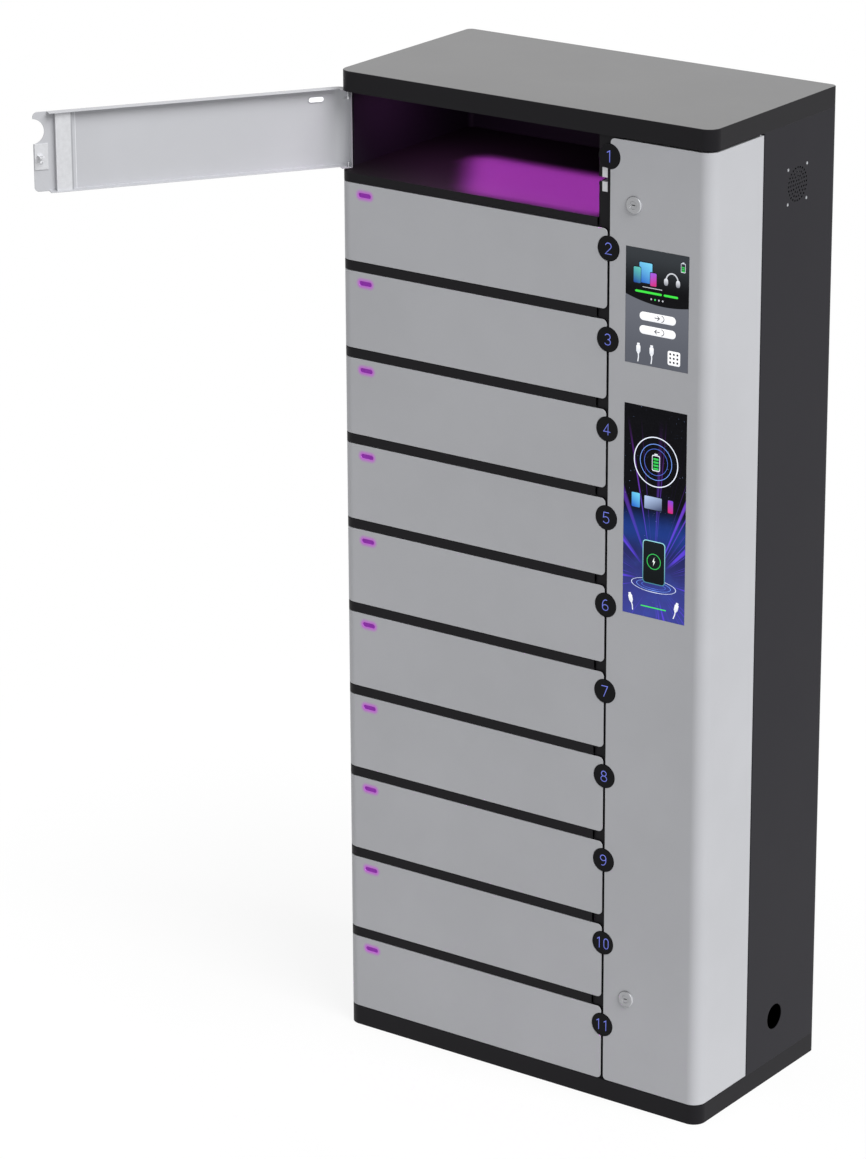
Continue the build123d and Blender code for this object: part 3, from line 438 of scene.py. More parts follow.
class Wiring:
    """Adds nodes to one tree and joins them. surface is its Principled shader, if any."""

    def __init__(self, tree):
        self.tree = tree
        self.surface = next((n for n in tree.nodes if n.type == "BSDF_PRINCIPLED"), None)

    def feed(self, node, values):
        """Joins a socket to each named input, or sets the input to a constant."""
        for key, value in values.items():
            into = node.inputs[key]
            if isinstance(value, bpy.types.NodeSocket):
                self.tree.links.new(value, into)
            else:
                into.default_value = (*value, 1.0) if into.type == "RGBA" else value
        return node.outputs

    def set_surface(self, values):
        """Feeds the Principled shader."""
        self.feed(self.surface, values)

    def shown(self):
        """The colour that the Principled shader has so far."""
        return self.surface.inputs["Base Color"].links[0].from_socket

    def add(self, kind, values=None, **settings):
        """Adds a node with its settings and values, and gives its outputs."""
        node = self.tree.nodes.new("ShaderNode" + kind)
        for name, value in settings.items():
            setattr(node, name, value)
        return self.feed(node, values or {})

    def group(self, name, values):
        """Places a node group with its own values. The group is built on first use."""
        return self.add(
            "Group", values, node_tree=bpy.data.node_groups.get(name) or build_group(name)
        )

    def place(self):
        """Object coordinates."""
        return self.add("TexCoord")["Object"]

    def split(self, vector):
        """The vector's three values."""
        return self.add("SeparateXYZ", {0: vector})

    def normal(self):
        """The face's own direction."""
        return self.add("NewGeometry")["Normal"]

    def math(self, operation, *values, clamp=False):
        """Result of a Math node."""
        return self.add(
            "Math", dict(enumerate(values)), operation=operation, use_clamp=clamp
        )[0]

    def vector(self, operation, *values):
        """Result of a Vector Math node: a value for a dot product or length, else a vector."""
        outputs = self.add("VectorMath", dict(enumerate(values)), operation=operation)
        return outputs["Value" if operation in ("DOT_PRODUCT", "LENGTH") else "Vector"]

    def reach(self, across, up):
        """sqrt(across^2 + up^2)."""
        square = self.math("MULTIPLY", across, across)
        return self.math("SQRT", self.math("MULTIPLY_ADD", up, up, square))

    def scaled(self, colour, level):
        """The colour times a level."""
        return self.add("VectorMath", {0: colour, "Scale": level}, operation="SCALE")[0]

    def mix(self, factor, first, second):
        """Colour between two colours."""
        return self.add("Mix", {0: factor, 6: first, 7: second}, data_type="RGBA")[2]

    def fade(self, value, start, end, low=0.0, high=1.0):
        """Smooth step from low at start to high at end."""
        return self.add(
            "MapRange",
            {"Value": value, "From Min": start, "From Max": end, "To Min": low, "To Max": high},
            interpolation_type="SMOOTHSTEP",
        )[0]

    def spread(self, pattern, low, high):
        """A noise pattern's usual range, faded from low to high."""
        return self.fade(pattern, 0.3, 0.7, low, high)

    def noise(self, position, scale, detail=2.0, roughness=0.5):
        """Value of a noise pattern, about 0.5 on average."""
        values = {"Vector": position, "Scale": scale, "Detail": detail, "Roughness": roughness}
        return self.add("TexNoise", values)[0]

    def cloud(self, position, scale, low, high, detail=2.0, roughness=0.5):
        """Noise pattern spread from low to high."""
        return self.spread(self.noise(position, scale, detail, roughness), low, high)

    def gloss(self, pattern, share, roughness):
        """The roughness, moved up and down by a share of the pattern."""
        swing = self.math("SUBTRACT", pattern, 0.5)
        return self.math("MULTIPLY_ADD", swing, share, roughness, clamp=True)


def powder_coat(wires, given):
    """Powder coat: fine waves in height, faint clouds and specks in colour, uneven gloss."""
    position = given["Position"]
    clouds = wires.noise(position, 3.5, 3.0, 0.6)
    specks = wires.math("SUBTRACT", wires.noise(position, 2600.0, 1.0), 0.5)
    shade = wires.spread(clouds, 0.965, 1.02)
    level = wires.math("MULTIPLY_ADD", specks, given["Speck"], shade)
    return (
        wires.scaled(given["Colour"], level),
        wires.gloss(clouds, 0.12, given["Roughness"]),
        wires.noise(position, given["Peel scale"], 2.0, 0.55),
    )


def metal_grain(wires, given):
    """Metal grain: fine scratches, drawn out where the stretch is small, with faint stains in
    colour and gloss."""
    drawn_out = wires.vector("MULTIPLY", given["Position"], given["Stretch"])
    lines = wires.noise(drawn_out, 1.0, 3.0, 0.6)
    stains = wires.cloud(given["Position"], 120.0, 0.93, 1.01, 3.0, 0.6)
    level = wires.math("ADD", stains, wires.spread(lines, -0.03, 0.03))
    gloss = wires.gloss(lines, 0.3, given["Roughness"])
    return wires.scaled(given["Colour"], level), gloss, lines


def moulded_plastic(wires, given):
    """Moulded plastic: fine spark-eroded grain, and a faint change of tone over the part."""
    tone = wires.noise(given["Position"], 40.0)
    level = wires.spread(tone, 0.9, 1.1)
    cells = {"Vector": given["Position"], "Scale": given["Grain scale"]}
    grain = wires.add("TexVoronoi", cells, feature="SMOOTH_F1")[0]
    gloss = wires.gloss(tone, 0.2, given["Roughness"])
    return wires.scaled(given["Colour"], level), gloss, grain


def edge_wear(wires, given):
    """Wear and painted sheen on edges: where the rounded normal leaves the true one, the colour is
    lightened in patches, partly as wear where the coat is thin and partly as a painted highlight
    along the edge.
    """
    soft = wires.add("Bevel", {"Radius": given["Radius"]}, samples=4)[0]
    bend = wires.math("SUBTRACT", 1.0, wires.vector("DOT_PRODUCT", soft, wires.normal()))
    patches = wires.fade(wires.noise(given["Position"], 60.0, 4.0, 0.65), 0.42, 0.62)
    rubbed_and_sheen = wires.math("MULTIPLY", patches, given["Amount"])
    # The lightened edge is partly wear and partly a painted highlight.
    mask = wires.math("MULTIPLY", wires.fade(bend, 0.04, 0.25), rubbed_and_sheen)
    return wires.mix(mask, given["Colour"], given["Worn and sheen colour"]), soft


def slot_distance(wires, given):
    """Distance from a point to the nearest shut door's light slot: the slot is a run of
    half-length a with round ends, repeated each door pitch, so the distance is
    sqrt(max(|x - middle| - a, 0)^2 + z^2) less the slot's radius, z taken to the nearest."""
    x, _, z = wires.split(given["Position"])
    lowest = DOOR_TOPS[DOOR_COUNT] - SLOT_BELOW_TOP
    aside = wires.math("ABSOLUTE", wires.math("SUBTRACT", x, SLOT_X))
    aside = wires.math("MAXIMUM", wires.math("SUBTRACT", aside, SLOT_HALF_RUN), 0.0)
    rise = wires.math("WRAP", wires.math("SUBTRACT", z, lowest), DOOR_PITCH / 2, -DOOR_PITCH / 2)
    return [wires.math("SUBTRACT", wires.reach(aside, rise), SLOT_RADIUS)]


# Each group: the function that wires it, its inputs and its outputs
FINISH_INPUTS = {"Position": "Vector", "Colour": "Color", "Roughness": "Float"}
FINISH_OUTPUTS = {"Colour": "Color", "Roughness": "Float", "Height": "Float"}
COAT_INPUTS = {**FINISH_INPUTS, "Peel scale": "Float", "Speck": "Float"}
METAL_INPUTS = {**FINISH_INPUTS, "Stretch": "Vector"}
PLASTIC_INPUTS = {**FINISH_INPUTS, "Grain scale": "Float"}
WEAR_AND_SHEEN_COLOURS = {"Colour": "Color", "Worn and sheen colour": "Color"}
WEAR_AND_SHEEN_INPUTS = {"Position": "Vector", **WEAR_AND_SHEEN_COLOURS, "Radius": "Float", "Amount": "Float"}
NODE_GROUPS = {
    "Powder coat": (powder_coat, COAT_INPUTS, FINISH_OUTPUTS),
    "Metal grain": (metal_grain, METAL_INPUTS, FINISH_OUTPUTS),
    "Moulded plastic": (moulded_plastic, PLASTIC_INPUTS, FINISH_OUTPUTS),
    "Edge wear and sheen": (edge_wear, WEAR_AND_SHEEN_INPUTS, {"Colour": "Color", "Normal": "Vector"}),
    "Slot distance": (slot_distance, {"Position": "Vector"}, {"Distance": "Float"}),
}


def build_group(name):
    """Shader node group with named sockets. Its function gives a value for each output."""
    wire, inputs, outputs = NODE_GROUPS[name]
    tree = bpy.data.node_groups.new(name, "ShaderNodeTree")
    for way, sockets in (("INPUT", inputs), ("OUTPUT", outputs)):
        for label, kind in sockets.items():
            tree.interface.new_socket(label, in_out=way, socket_type="NodeSocket" + kind)
    start, end = tree.nodes.new("NodeGroupInput"), tree.nodes.new("NodeGroupOutput")
    wires = Wiring(tree)
    wires.feed(end, dict(zip(outputs, wire(wires, start.outputs))))
    return tree


# ---------------------------------------------------------------- materials


def made_once(build):
    """Finds the material of the given name, and builds it only where there is none."""

    @functools.wraps(build)
    def find(name, *values, **settings):
        """The material of that name, old or new."""
        return bpy.data.materials.get(name) or build(name, *values, **settings)

    return find


def new_material(name):
    """Material with a Principled surface, and its wiring."""
    material = bpy.data.materials.new(name)
    material.use_nodes = True
    return material, Wiring(material.node_tree)


def worked_surface(name, group, values, worn_and_sheen, radius, amount, depth, strength):
    """Material whose colour, gloss and height come from a finish group. Its edges are lightened
    over a radius by an amount, partly as wear and partly as a painted highlight, and depth and
    strength are those of the height."""
    material, wires = new_material(name)
    position = wires.place()
    finish = wires.group(group, {"Position": position, **values})
    wear = {"Colour": finish["Colour"], "Worn and sheen colour": worn_and_sheen, "Radius": radius, "Amount": amount}
    edge = wires.group("Edge wear and sheen", {"Position": position, **wear})
    relief = {"Height": finish["Height"], "Normal": edge["Normal"]}
    bump = wires.add("Bump", {**relief, "Distance": depth, "Strength": strength})[0]
    wires.set_surface(
        {"Base Color": edge["Colour"], "Roughness": finish["Roughness"], "Normal": bump}
    )
    return material, wires


@made_once
def coated_steel(
    name, colour, roughness, specular, worn_and_sheen, wear, speck=0.05, painted_slot_glow=False, metallic=0.0
):
    """Powder-coated sheet. Where asked, a painted glow of the slots' violet light lies on the coat
    round each light slot, as a tint of its colour and as emission.
    """
    look = bpy.context.scene.locker_finish
    waves = {"Peel scale": 1.0 / look.peel, "Speck": speck}
    values = {"Colour": colour, "Roughness": roughness, **waves}
    edge, relief = (worn_and_sheen, look.edge_round, wear), {"depth": look.peel_depth, "strength": 0.6}
    material, wires = worked_surface(name, "Powder coat", values, *edge, **relief)
    wires.set_surface({"Specular IOR Level": specular, "Metallic": metallic})
    if painted_slot_glow:
        # Painted glow: the slots' violet light, tinted into the coat and given off as emission,
        # fading with the distance from each slot.
        halo, most, halo_violet = 0.009, 0.78, screen_colour(204, 88, 222)
        gap = wires.group("Slot distance", {"Position": wires.place()})[0]
        near = wires.fade(gap, halo, 0.0)
        tinted = wires.mix(wires.math("MULTIPLY", near, most), wires.shown(), halo_violet)
        light = wires.mix(near, BLACK, (0.035, 0.002, 0.045))
        wires.set_surface({"Base Color": tinted, "Emission Color": light, "Emission Strength": 1.0})
    return material


@made_once
def cap_coat(name, *values):
    """Powder coat with a smooth clear coat on the faces that look up: the clear coat's
    weight follows the normal's rise."""
    material = coated_steel(name, *values)
    wires = Wiring(material.node_tree)
    tilted, level, most = 0.9, 0.99, 0.72
    weight = wires.fade(wires.split(wires.normal())[2], tilted, level, 0.0, most)
    wires.set_surface({"Coat Weight": weight, "Coat Roughness": 0.28, "Coat IOR": 2.2})
    return material


@made_once
def metal(name, colour, roughness, stretch=LEVEL_GRAIN, metallic=1.0, rounding=0.4):
    """Bare or plated metal with a fine grain. Rounding is a share of the edge rounding."""
    worn_and_sheen = [min(1.0, 1.25 * c) for c in colour]
    values = {"Colour": colour, "Roughness": roughness, "Stretch": stretch}
    radius = rounding * bpy.context.scene.locker_finish.edge_round
    wear = {"worn_and_sheen": worn_and_sheen, "radius": radius, "amount": 0.6}
    material, wires = worked_surface(
        name, "Metal grain", values, depth=0.00001, strength=0.5, **wear
    )
    wires.set_surface({"Metallic": metallic})
    return material


@made_once
def plastic(name, colour, roughness, specular=0.4, grain_scale=1400.0, depth=0.00002, glow=None):
    """Moulded plastic. glow is the colour of a part that gives light."""
    worn_and_sheen = [min(1.0, 1.5 * c + 0.01) for c in colour]
    values = {"Colour": colour, "Roughness": roughness, "Grain scale": grain_scale}
    radius = 0.5 * bpy.context.scene.locker_finish.edge_round
    wear = {"worn_and_sheen": worn_and_sheen, "radius": radius, "amount": 0.5}
    material, wires = worked_surface(
        name, "Moulded plastic", values, depth=depth, strength=0.5, **wear
    )
    wires.set_surface({"Specular IOR Level": specular})
    if glow:
        light = wires.scaled(glow, wires.cloud(wires.place(), 180.0, 0.85, 1.1))
        wires.set_surface({"Emission Color": light, "Emission Strength": 1.0})
    return material


@made_once
def lock_casting(name, colour):
    """Satin casting whose rims carry a painted highlight and painted shade: the colour is bright
    where the face looks right and dark where it looks to the upper left, by the normal along one
    slanted direction."""
    material = metal(name, colour, 0.2, EVEN_GRAIN, metallic=0.35, rounding=1.6)
    wires = Wiring(material.node_tree)
    # Painted highlight and shade: the colour is scaled up or down by the normal's share along this
    # direction.
    slanted, dark, bright = (0.8, -0.2, -0.55), 0.3, 1.4
    towards = wires.vector("DOT_PRODUCT", wires.normal(), slanted)
    level = wires.fade(towards, -0.5, 0.75, dark, bright)
    wires.set_surface({"Base Color": wires.scaled(wires.shown(), level)})
    return material


def place_on_shut_door(wires):
    """Object coordinates of a piece of the open door, turned back about the hinge."""
    centre = (HINGE_X, HINGE_Y, 0.0)
    values = {"Vector": wires.place(), "Center": centre, "Angle": -OPEN_DOOR_TURN}
    return wires.add("VectorRotate", values, rotation_type="Z_AXIS")[0]


@made_once
def latch_steel(name, look, is_open):
    """Plated steel of a door's channel and latch. The channel's foot has the door's silver up to
    its cut edge, which carries a painted highlight, and the fold above it carries painted shade:
    all three are bands of X."""
    material = metal(name, look.zinc, 0.4, metallic=0.25)
    wires = Wiring(material.node_tree)
    across = wires.split(place_on_shut_door(wires) if is_open else wires.place())[0]
    foot = wires.math(
        "MULTIPLY",
        wires.fade(across, CHANNEL_EDGE_X, CHANNEL_EDGE_X - 0.0003),
        wires.fade(across, FOOT_EDGE_X - 0.003, FOOT_EDGE_X - 0.002),
    )
    shown = wires.mix(foot, wires.shown(), look.silver)
    # A painted shade along the fold, then a painted highlight along the foot's cut edge.
    for middle, outside, inside, colour in (
        (CHANNEL_EDGE_X + 0.001, 0.0024, 0.0008, (158, 159, 163)),
        (FOOT_EDGE_X, 0.0012, 0.0006, (222, 223, 226)),
    ):
        away = wires.math("ABSOLUTE", wires.math("SUBTRACT", across, middle))
        shown = wires.mix(wires.fade(away, outside, inside), shown, screen_colour(*colour))
    wires.set_surface({"Base Color": shown})
    return material


@made_once
def opal_lens(name, rim):
    """Lens of the open door: within its slot, a painted white glow, in its colour and as emission,
    stands in for daylight coming through, and it is as grey as the door where it laps the sheet."""
    material, wires = new_material(name)
    gap = wires.group("Slot distance", {"Position": place_on_shut_door(wires)})[0]
    milky = wires.cloud(wires.place(), 180.0, 0.9, 1.0)
    # Painted glow of daylight through the slot: white colour and emission, only within the slot.
    lit = wires.math("MULTIPLY", wires.fade(gap, 0.0003, -0.0003), milky)
    wires.set_surface(
        {
            "Base Color": wires.mix(lit, rim, (0.85, 0.85, 0.87)),
            "Emission Color": wires.mix(lit, BLACK, (0.7, 0.7, 0.72)),
            "Emission Strength": 1.0,
            "Roughness": 0.35,
        }
    )
    return material


@made_once
def tinted_glow(name, strength):
    """Light of the screen icons, and a painted glow on the printed badge numbers: each piece's own
    tint, with a fine raster.
    """
    material, wires = new_material(name)
    tint = wires.add("Attribute", attribute_name="Tint")["Color"]
    raster = wires.cloud(wires.place(), 1800.0, 0.9, 1.05, 1.0)
    wires.set_surface(
        {
            "Emission Color": wires.scaled(tint, raster),
            "Base Color": wires.scaled(tint, 0.25),
            "Emission Strength": strength,
            "Roughness": 0.4,
            "Specular IOR Level": 0.1,
        }
    )
    return material


@made_once
def screen_glass(name, picture, centre_z):
    """Cover glass over a lit picture. The housing behind the sheet stays dark."""
    material, wires = new_material(name)
    position = wires.place()
    place = wires.vector("SUBTRACT", position, (SCREEN_X, 0.0, centre_z))
    front = wires.math("LESS_THAN", wires.split(place)[1], FRONT_Y + 0.0003)
    smears = wires.fade(wires.noise(position, 26.0, 4.0, 0.6), 0.45, 0.75, 0.06, 0.16)
    body = wires.cloud(position, 300.0, 0.8, 1.2)
    wires.set_surface(
        {
            "Emission Color": wires.mix(front, BLACK, picture(wires, place)),
            "Base Color": wires.scaled((0.006, 0.006, 0.007), body),
            "Roughness": smears,
            "Emission Strength": 1.0,
            "Specular IOR Level": 0.03,
        }
    )
    return material


def touch_picture(wires, place):
    """Touch screen's background: slate below a sagging curve, and charcoal falling to black
    above it. The curve is a parabola whose lowest point lies right of the middle."""
    across, _, up = wires.split(place)
    aside = wires.math("SUBTRACT", across, 0.016)
    curve = wires.math("MULTIPLY_ADD", wires.math("MULTIPLY", aside, aside), 1.95, 0.0065)
    above = wires.fade(wires.math("SUBTRACT", up, curve), -0.0004, 0.0004)
    slate = (screen_colour(92, 95, 104), screen_colour(106, 109, 118))
    charcoal = (screen_colour(7, 7, 9), screen_colour(54, 58, 62))
    return wires.mix(
        above,
        wires.mix(wires.fade(up, -0.104, 0.02), *slate),
        wires.mix(wires.fade(up, 0.03, 0.104), *charcoal),
    )


def advert_picture(wires, place):
    """Advert's background: black falling to blue, a blue haze below the middle, and violet
    beams fanned out of a point low in the picture. A beam is a narrow range of the angle
    seen from that point."""
    across, _, up = wires.split(place)
    sky = wires.mix(
        wires.fade(up, 0.01, -0.2), screen_colour(2, 2, 5), screen_colour(60, 64, 146)
    )
    from_level = wires.math("ABSOLUTE", wires.math("ADD", up, 0.035))
    sky = wires.mix(wires.fade(from_level, 0.05, 0.0, 0.0, 0.4), sky, screen_colour(38, 84, 190))
    haze = wires.fade(wires.noise(place, 22.0, 3.0, 0.6), 0.4, 0.85, 0.0, 0.3)
    haze = wires.math("MULTIPLY", haze, wires.fade(up, 0.06, -0.1))
    sky = wires.mix(haze, sky, screen_colour(58, 92, 190))
    rise = wires.math("ADD", up, 0.125)
    angle = wires.math("ARCTAN2", across, rise)
    reach = wires.reach(across, rise)
    rays = []
    for spread, second, third, most in ((12.0, 6.1, 2.4, 1.0), (34.0, 8.2, 5.1, 0.8)):
        values = {0: wires.math("MULTIPLY", angle, spread), 1: second, 2: third}
        comb = wires.noise(wires.add("CombineXYZ", values)[0], 1.0, 0.0)
        rays.append(wires.fade(comb, 0.66, 0.76, 0.0, most))
    inside = wires.math("MULTIPLY", wires.fade(reach, 0.03, 0.07), wires.fade(reach, 0.31, 0.15))
    beams = wires.math("MULTIPLY", wires.math("MAXIMUM", *rays), inside)
    hue = wires.mix(
        wires.fade(reach, 0.05, 0.28), screen_colour(96, 70, 232), screen_colour(140, 60, 190)
    )
    lit = wires.mix(wires.math("MULTIPLY", beams, 0.85), sky, hue)
    spark = wires.fade(wires.noise(place, 420.0, 0.0), 0.82, 0.86, 0.0, 0.6)
    return wires.mix(spark, lit, screen_colour(170, 196, 255))


def screw_steel():
    """Steel of the fan's and the terminals' screws."""
    return metal("Screw steel", screen_colour(172, 174, 178), 0.34, EVEN_GRAIN)


def dress(material, *nodes):
    """Gives solids of the frame a material, through their own material slots."""
    for name in nodes:
        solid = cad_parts[name]
        if not solid.material_slots:
            solid.data.materials.append(material)
        for slot in solid.material_slots:
            slot.material = material


# ---------------------------------------------------------------- finishes of the solids


class LOCKER_OT_finish_cabinet(bpy.types.Operator):
    """Powder coats of the cap, plinth, post, rails, panels and shelves"""

    bl_idname = "locker.finish_cabinet"
    bl_label = "Finish Cabinet"

    def execute(self, context):
        look = context.scene.locker_finish
        worn_and_sheen, gloss = screen_colour(72, 71, 72), look.black_roughness
        frame_coat = coated_steel("Frame powder coat", look.frame_black, gloss, 0.12, worn_and_sheen, 0.35)
        side_coat = coated_steel("Side powder coat", look.side_black, gloss, 0.14, worn_and_sheen, 0.3)
        inner_coat = coated_steel("Inner powder coat", look.inner_black, 0.6, 0.05, worn_and_sheen, 0.15)
        dress(cap_coat("Cap powder coat", look.frame_black, 0.4, 0.12, worn_and_sheen, 0.35), "top_cap")
        dress(frame_coat, "base_plinth", "centre_post", "front_rails")
        dress(side_coat, "left_side_panel", "right_side_panel", "back_panel")
        dress(inner_coat, "ceiling_panel", "shelf_panels", "divider_wall", "shelf_brackets")
        return {"FINISHED"}


class LOCKER_OT_finish_doors(bpy.types.Operator):
    """Silver coat, light lenses and latch brackets of the doors"""

    bl_idname = "locker.finish_doors"
    bl_label = "Finish Doors"

    def execute(self, context):
        look = context.scene.locker_finish
        worn_and_sheen = screen_colour(214, 215, 218)
        values = (look.silver, look.silver_roughness, 0.3, worn_and_sheen, 0.5, 0.1)
        plain_coat = coated_steel("Silver coat", *values, metallic=0.15)
        of_open_door = (
            plain_coat,
            opal_lens("Opal lens", look.silver),
            latch_steel("Plated latch steel of the open door", look, True),
        )
        glow = screen_colour(115, 18, 138)
        of_shut_doors = (
            coated_steel("Door silver coat", *values, painted_slot_glow=True, metallic=0.15),
            plastic("Lit lens", (0.06, 0.004, 0.09), 0.3, 0.3, glow=glow),
            latch_steel("Plated latch steel", look, False),
        )
        for number in DOOR_NUMBERS:
            finishes = of_open_door if number == 1 else of_shut_doors
            for part, finish in zip(("", "_lens", "_fittings"), finishes):
                dress(finish, door_node(number) + part)
        dress(plain_coat, "service_door")
        return {"FINISHED"}


class LOCKER_OT_finish_hardware(bpy.types.Operator):
    """Finishes of badges, locks, pins, lamps and charging sockets"""

    bl_idname = "locker.finish_hardware"
    bl_label = "Finish Hardware"

    def execute(self, context):
        look = context.scene.locker_finish
        dress(plastic("Badge gloss", look.badge_black, 0.22, 0.1, 500.0, 0.000004), "number_badges")
        dress(metal("Bright lock plate", look.zinc, 0.4, metallic=0.6), "door_locks")
        dress(metal("Plated pin steel", look.zinc, 0.3, PIN_GRAIN), "hinge_pins")
        casting = lock_casting("Satin lock casting", look.lock_silver)
        dress(casting, "cam_lock_bodies", "upper_lock_plug", "lower_lock_plug")
        violet = tuple(0.5 * c for c in look.lamp_violet)
        cover = plastic("Lamp cover", screen_colour(220, 200, 228), 0.35, glow=violet)
        dress(cover, "compartment_lamps")
        dress(plastic("Socket plastic", screen_colour(34, 34, 36), 0.45), "charge_sockets")
        return {"FINISHED"}


class LOCKER_OT_finish_service(bpy.types.Operator):
    """Finishes of the screens, fan, power supply and controller board"""

    bl_idname = "locker.finish_service"
    bl_label = "Finish Service Bay"

    def execute(self, context):
        dress(screen_glass("Touch screen glass", touch_picture, TOUCH_Z), "touch_screen")
        dress(screen_glass("Advert glass", advert_picture, ADVERT_Z), "advert_panel")
        dress(plastic("Fan plastic", screen_colour(30, 30, 32), 0.4), "fan_frame")
        dress(plastic("Impeller plastic", screen_colour(92, 94, 98), 0.35), "fan_impeller")
        case = metal("Pressed supply case", screen_colour(190, 192, 194), 0.42, CASE_GRAIN, 0.85)
        dress(case, "power_supply")
        mask = plastic("Solder mask", screen_colour(22, 84, 46), 0.35, 0.5, 600.0, 0.00001)
        dress(mask, "controller_board")
        return {"FINISHED"}


# ---------------------------------------------------------------- small pieces


def digit_strokes(digit):
    """Strokes of a digit one unit high, as (path, joined) pairs. The middle is at u = 0."""

    def loop(middle, wide, high):
        """Closed ellipse whose middle stands at a height."""
        return (True, arc((0.0, middle), (wide, high), 0, 345, 24))

    top, foot = arc((0, 0.72), (0.26, 0.28), 0, 180), arc((0, 0.28), (0.26, 0.28), 180, 360)
    upper, lower = arc((0, 0.75), (0.25, 0.25), 150, -80), arc((0, 0.26), (0.28, 0.26), 80, -150)
    flag = [(0.26, 1.0), (-0.2, 1.0), (-0.25, 0.52)]
    bowl = arc((-0.01, 0.3), (0.29, 0.3), 125, -145)
    strokes = {
        "0": [(True, top, foot)],
        "1": [(False, [(-0.17, 0.84), (0.06, 1.0), (0.06, 0.0)])],
        "2": [(False, arc((0.0, 0.72), (0.27, 0.28), 160, -35), [(-0.28, 0.0), (0.3, 0.0)])],
        "3": [(False, upper, lower)],
        "4": [(False, [(0.12, 0.0), (0.12, 1.0), (-0.3, 0.28), (0.32, 0.28)])],
        "5": [(False, flag, bowl)],
        "6": [
            (False, arc((0.06, 0.5), (0.33, 0.5), 75, 180), [(-0.27, 0.3)]),
            loop(0.27, 0.27, 0.27),
        ],
        "7": [(False, [(-0.28, 1.0), (0.29, 1.0), (-0.08, 0.0)])],
        "8": [loop(0.76, 0.23, 0.24), loop(0.26, 0.28, 0.26)],
        "9": [
            (False, arc((-0.06, 0.5), (0.33, 0.5), 255, 360), [(0.27, 0.7)]),
            loop(0.73, 0.27, 0.27),
        ],
    }
    return [(np.vstack(parts), joined) for joined, *parts in strokes[digit]]


class LOCKER_OT_badge_numbers(bpy.types.Operator):
    """Thin raised numbers on the badges, drawn as pen strokes"""

    bl_idname = "locker.badge_numbers"
    bl_label = "Badge Numbers"

    def execute(self, context):
        sizes = context.scene.locker_sizes
        high = sizes.digit_height
        figure_pitch, foot_tone, tone_rise = 0.8 * high, 0.85, 0.25
        blue = np.array(context.scene.locker_finish.digit_blue)
        skin = Skin()
        for number in DOOR_NUMBERS:
            origin = (BADGE_X, BADGE_FACE_Y, DOOR_TOPS[number] - BADGE_BELOW_TOP - high / 2)
            figures = str(number)
            narrow = 0.92 if len(figures) > 1 else 1.12
            for place, figure in enumerate(figures):
                shift = (place - (len(figures) - 1) / 2) * figure_pitch
                for path, joined in digit_strokes(figure):
                    drawn = path * np.array([narrow, 1.0]) * high + (shift, 0.0)
                    rings = stroke(drawn, sizes.digit_stroke, origin, sizes.digit_relief, joined)
                    rise = (rings[..., 2:] - origin[2]) / high
                    skin.add(rings, blue * (foot_tone + tone_rise * rise), joined)
        # The printed numbers get a painted glow: they give off light as emission, though print is
        # no lamp.
        print_with_painted_glow = tinted_glow("Number print", 0.85)
        skin.piece("badge_numbers", print_with_painted_glow, CABINET, "badge", tinted=True)
        return {"FINISHED"}


class Canvas:
    """Draws icons on one screen. Lengths are in millimetres from the screen's middle."""

    def __init__(self, centre_z):
        self.skin = Skin()
        self.origin = (SCREEN_X, FRONT_Y, centre_z)
        self.layer = 0

    def relief(self):
        """Each new shape stands a little further out, so that it covers the ones before."""
        layer_step = 0.12
        self.layer += 1
        return bpy.context.scene.locker_sizes.icon_relief * (1 + layer_step * self.layer)

    def fill(self, outline, low, high=None, slant=0.0):
        """Plate whose tint runs from low at its foot to high at its head."""
        rings = plate(outline / 1000, self.origin, self.relief())
        way = rings[..., 2:] + slant * rings[..., :1]
        share = (way - way.min()) / max(np.ptp(way), 1e-9)
        low, high = (np.array(screen_colour(*c)) for c in (low, high or low))
        self.skin.add(rings, low + (high - low) * share)

    def card(self, width, height, corner, centre, *tints):
        """Plate with round corners."""
        self.fill(rounded(width, height, corner, centre), *tints)

    def outline(self, outline, width, tint):
        """Closed band along an outline."""
        rings = band(outline / 1000, width / 1000, self.origin, self.relief())
        self.skin.add(rings, screen_colour(*tint), True)

    def line(self, path, width, tint):
        """Open pen stroke."""
        rings = stroke(np.array(path) / 1000, width / 1000, self.origin, self.relief())
        self.skin.add(rings, screen_colour(*tint))

    def device(self, centre, case, case_tint, screen, *tints):
        """Tablet or phone: its case and its lit screen, each a width, height and corner."""
        self.card(*case, centre, case_tint)
        self.card(*screen, centre, *tints)

    def battery(self, u, w, size, bars):
        """Upright battery: a round-cornered outline, its cap, and bars from the foot up."""
        rim = (226, 232, 240)
        self.outline(rounded(0.56 * size, size, 0.1 * size, (u, w)), 0.06 * size, rim)
        self.card(0.24 * size, 0.07 * size, 0.03 * size, (u, w + 0.555 * size), rim)
        for k in range(bars):
            rise = w - 0.36 * size + 0.2 * size * k
            bar = (0.36 * size, 0.13 * size, 0.03 * size, (u, rise))
            self.card(*bar, (36, 150, 66), (64, 224, 96))

    def plug(self, u, w, size, lean=0.0):
        """Cable plug pointing up: tip, grip, and a cable that leaves it downwards."""
        cosine, sine = math.cos(math.radians(lean)), math.sin(math.radians(lean))
        spin = np.array([[cosine, sine], [-sine, cosine]]) * size
        for width, height, corner, rise in (
            (0.26, 0.2, 0.05, 0.6),
            (0.4, 0.62, 0.1, 0.2),
            (0.22, 0.16, 0.06, -0.16),
        ):
            outline = rounded(width, height, corner, (0.0, rise))
            self.fill(outline @ spin + (u, w), (214, 218, 226), (250, 251, 253))
        path = np.array([(0.0, -0.2), (0.02, -0.5), (-0.04, -0.9)])
        self.line(path @ spin + (u, w), 0.09 * size, (236, 239, 244))

    def piece(self, name):
        """Makes the piece, which rides on the service door."""
        light = tinted_glow("Screen icons", 1.0)
        self.skin.piece(name, light, SERVICE, "screen_glass", 25.0, True)


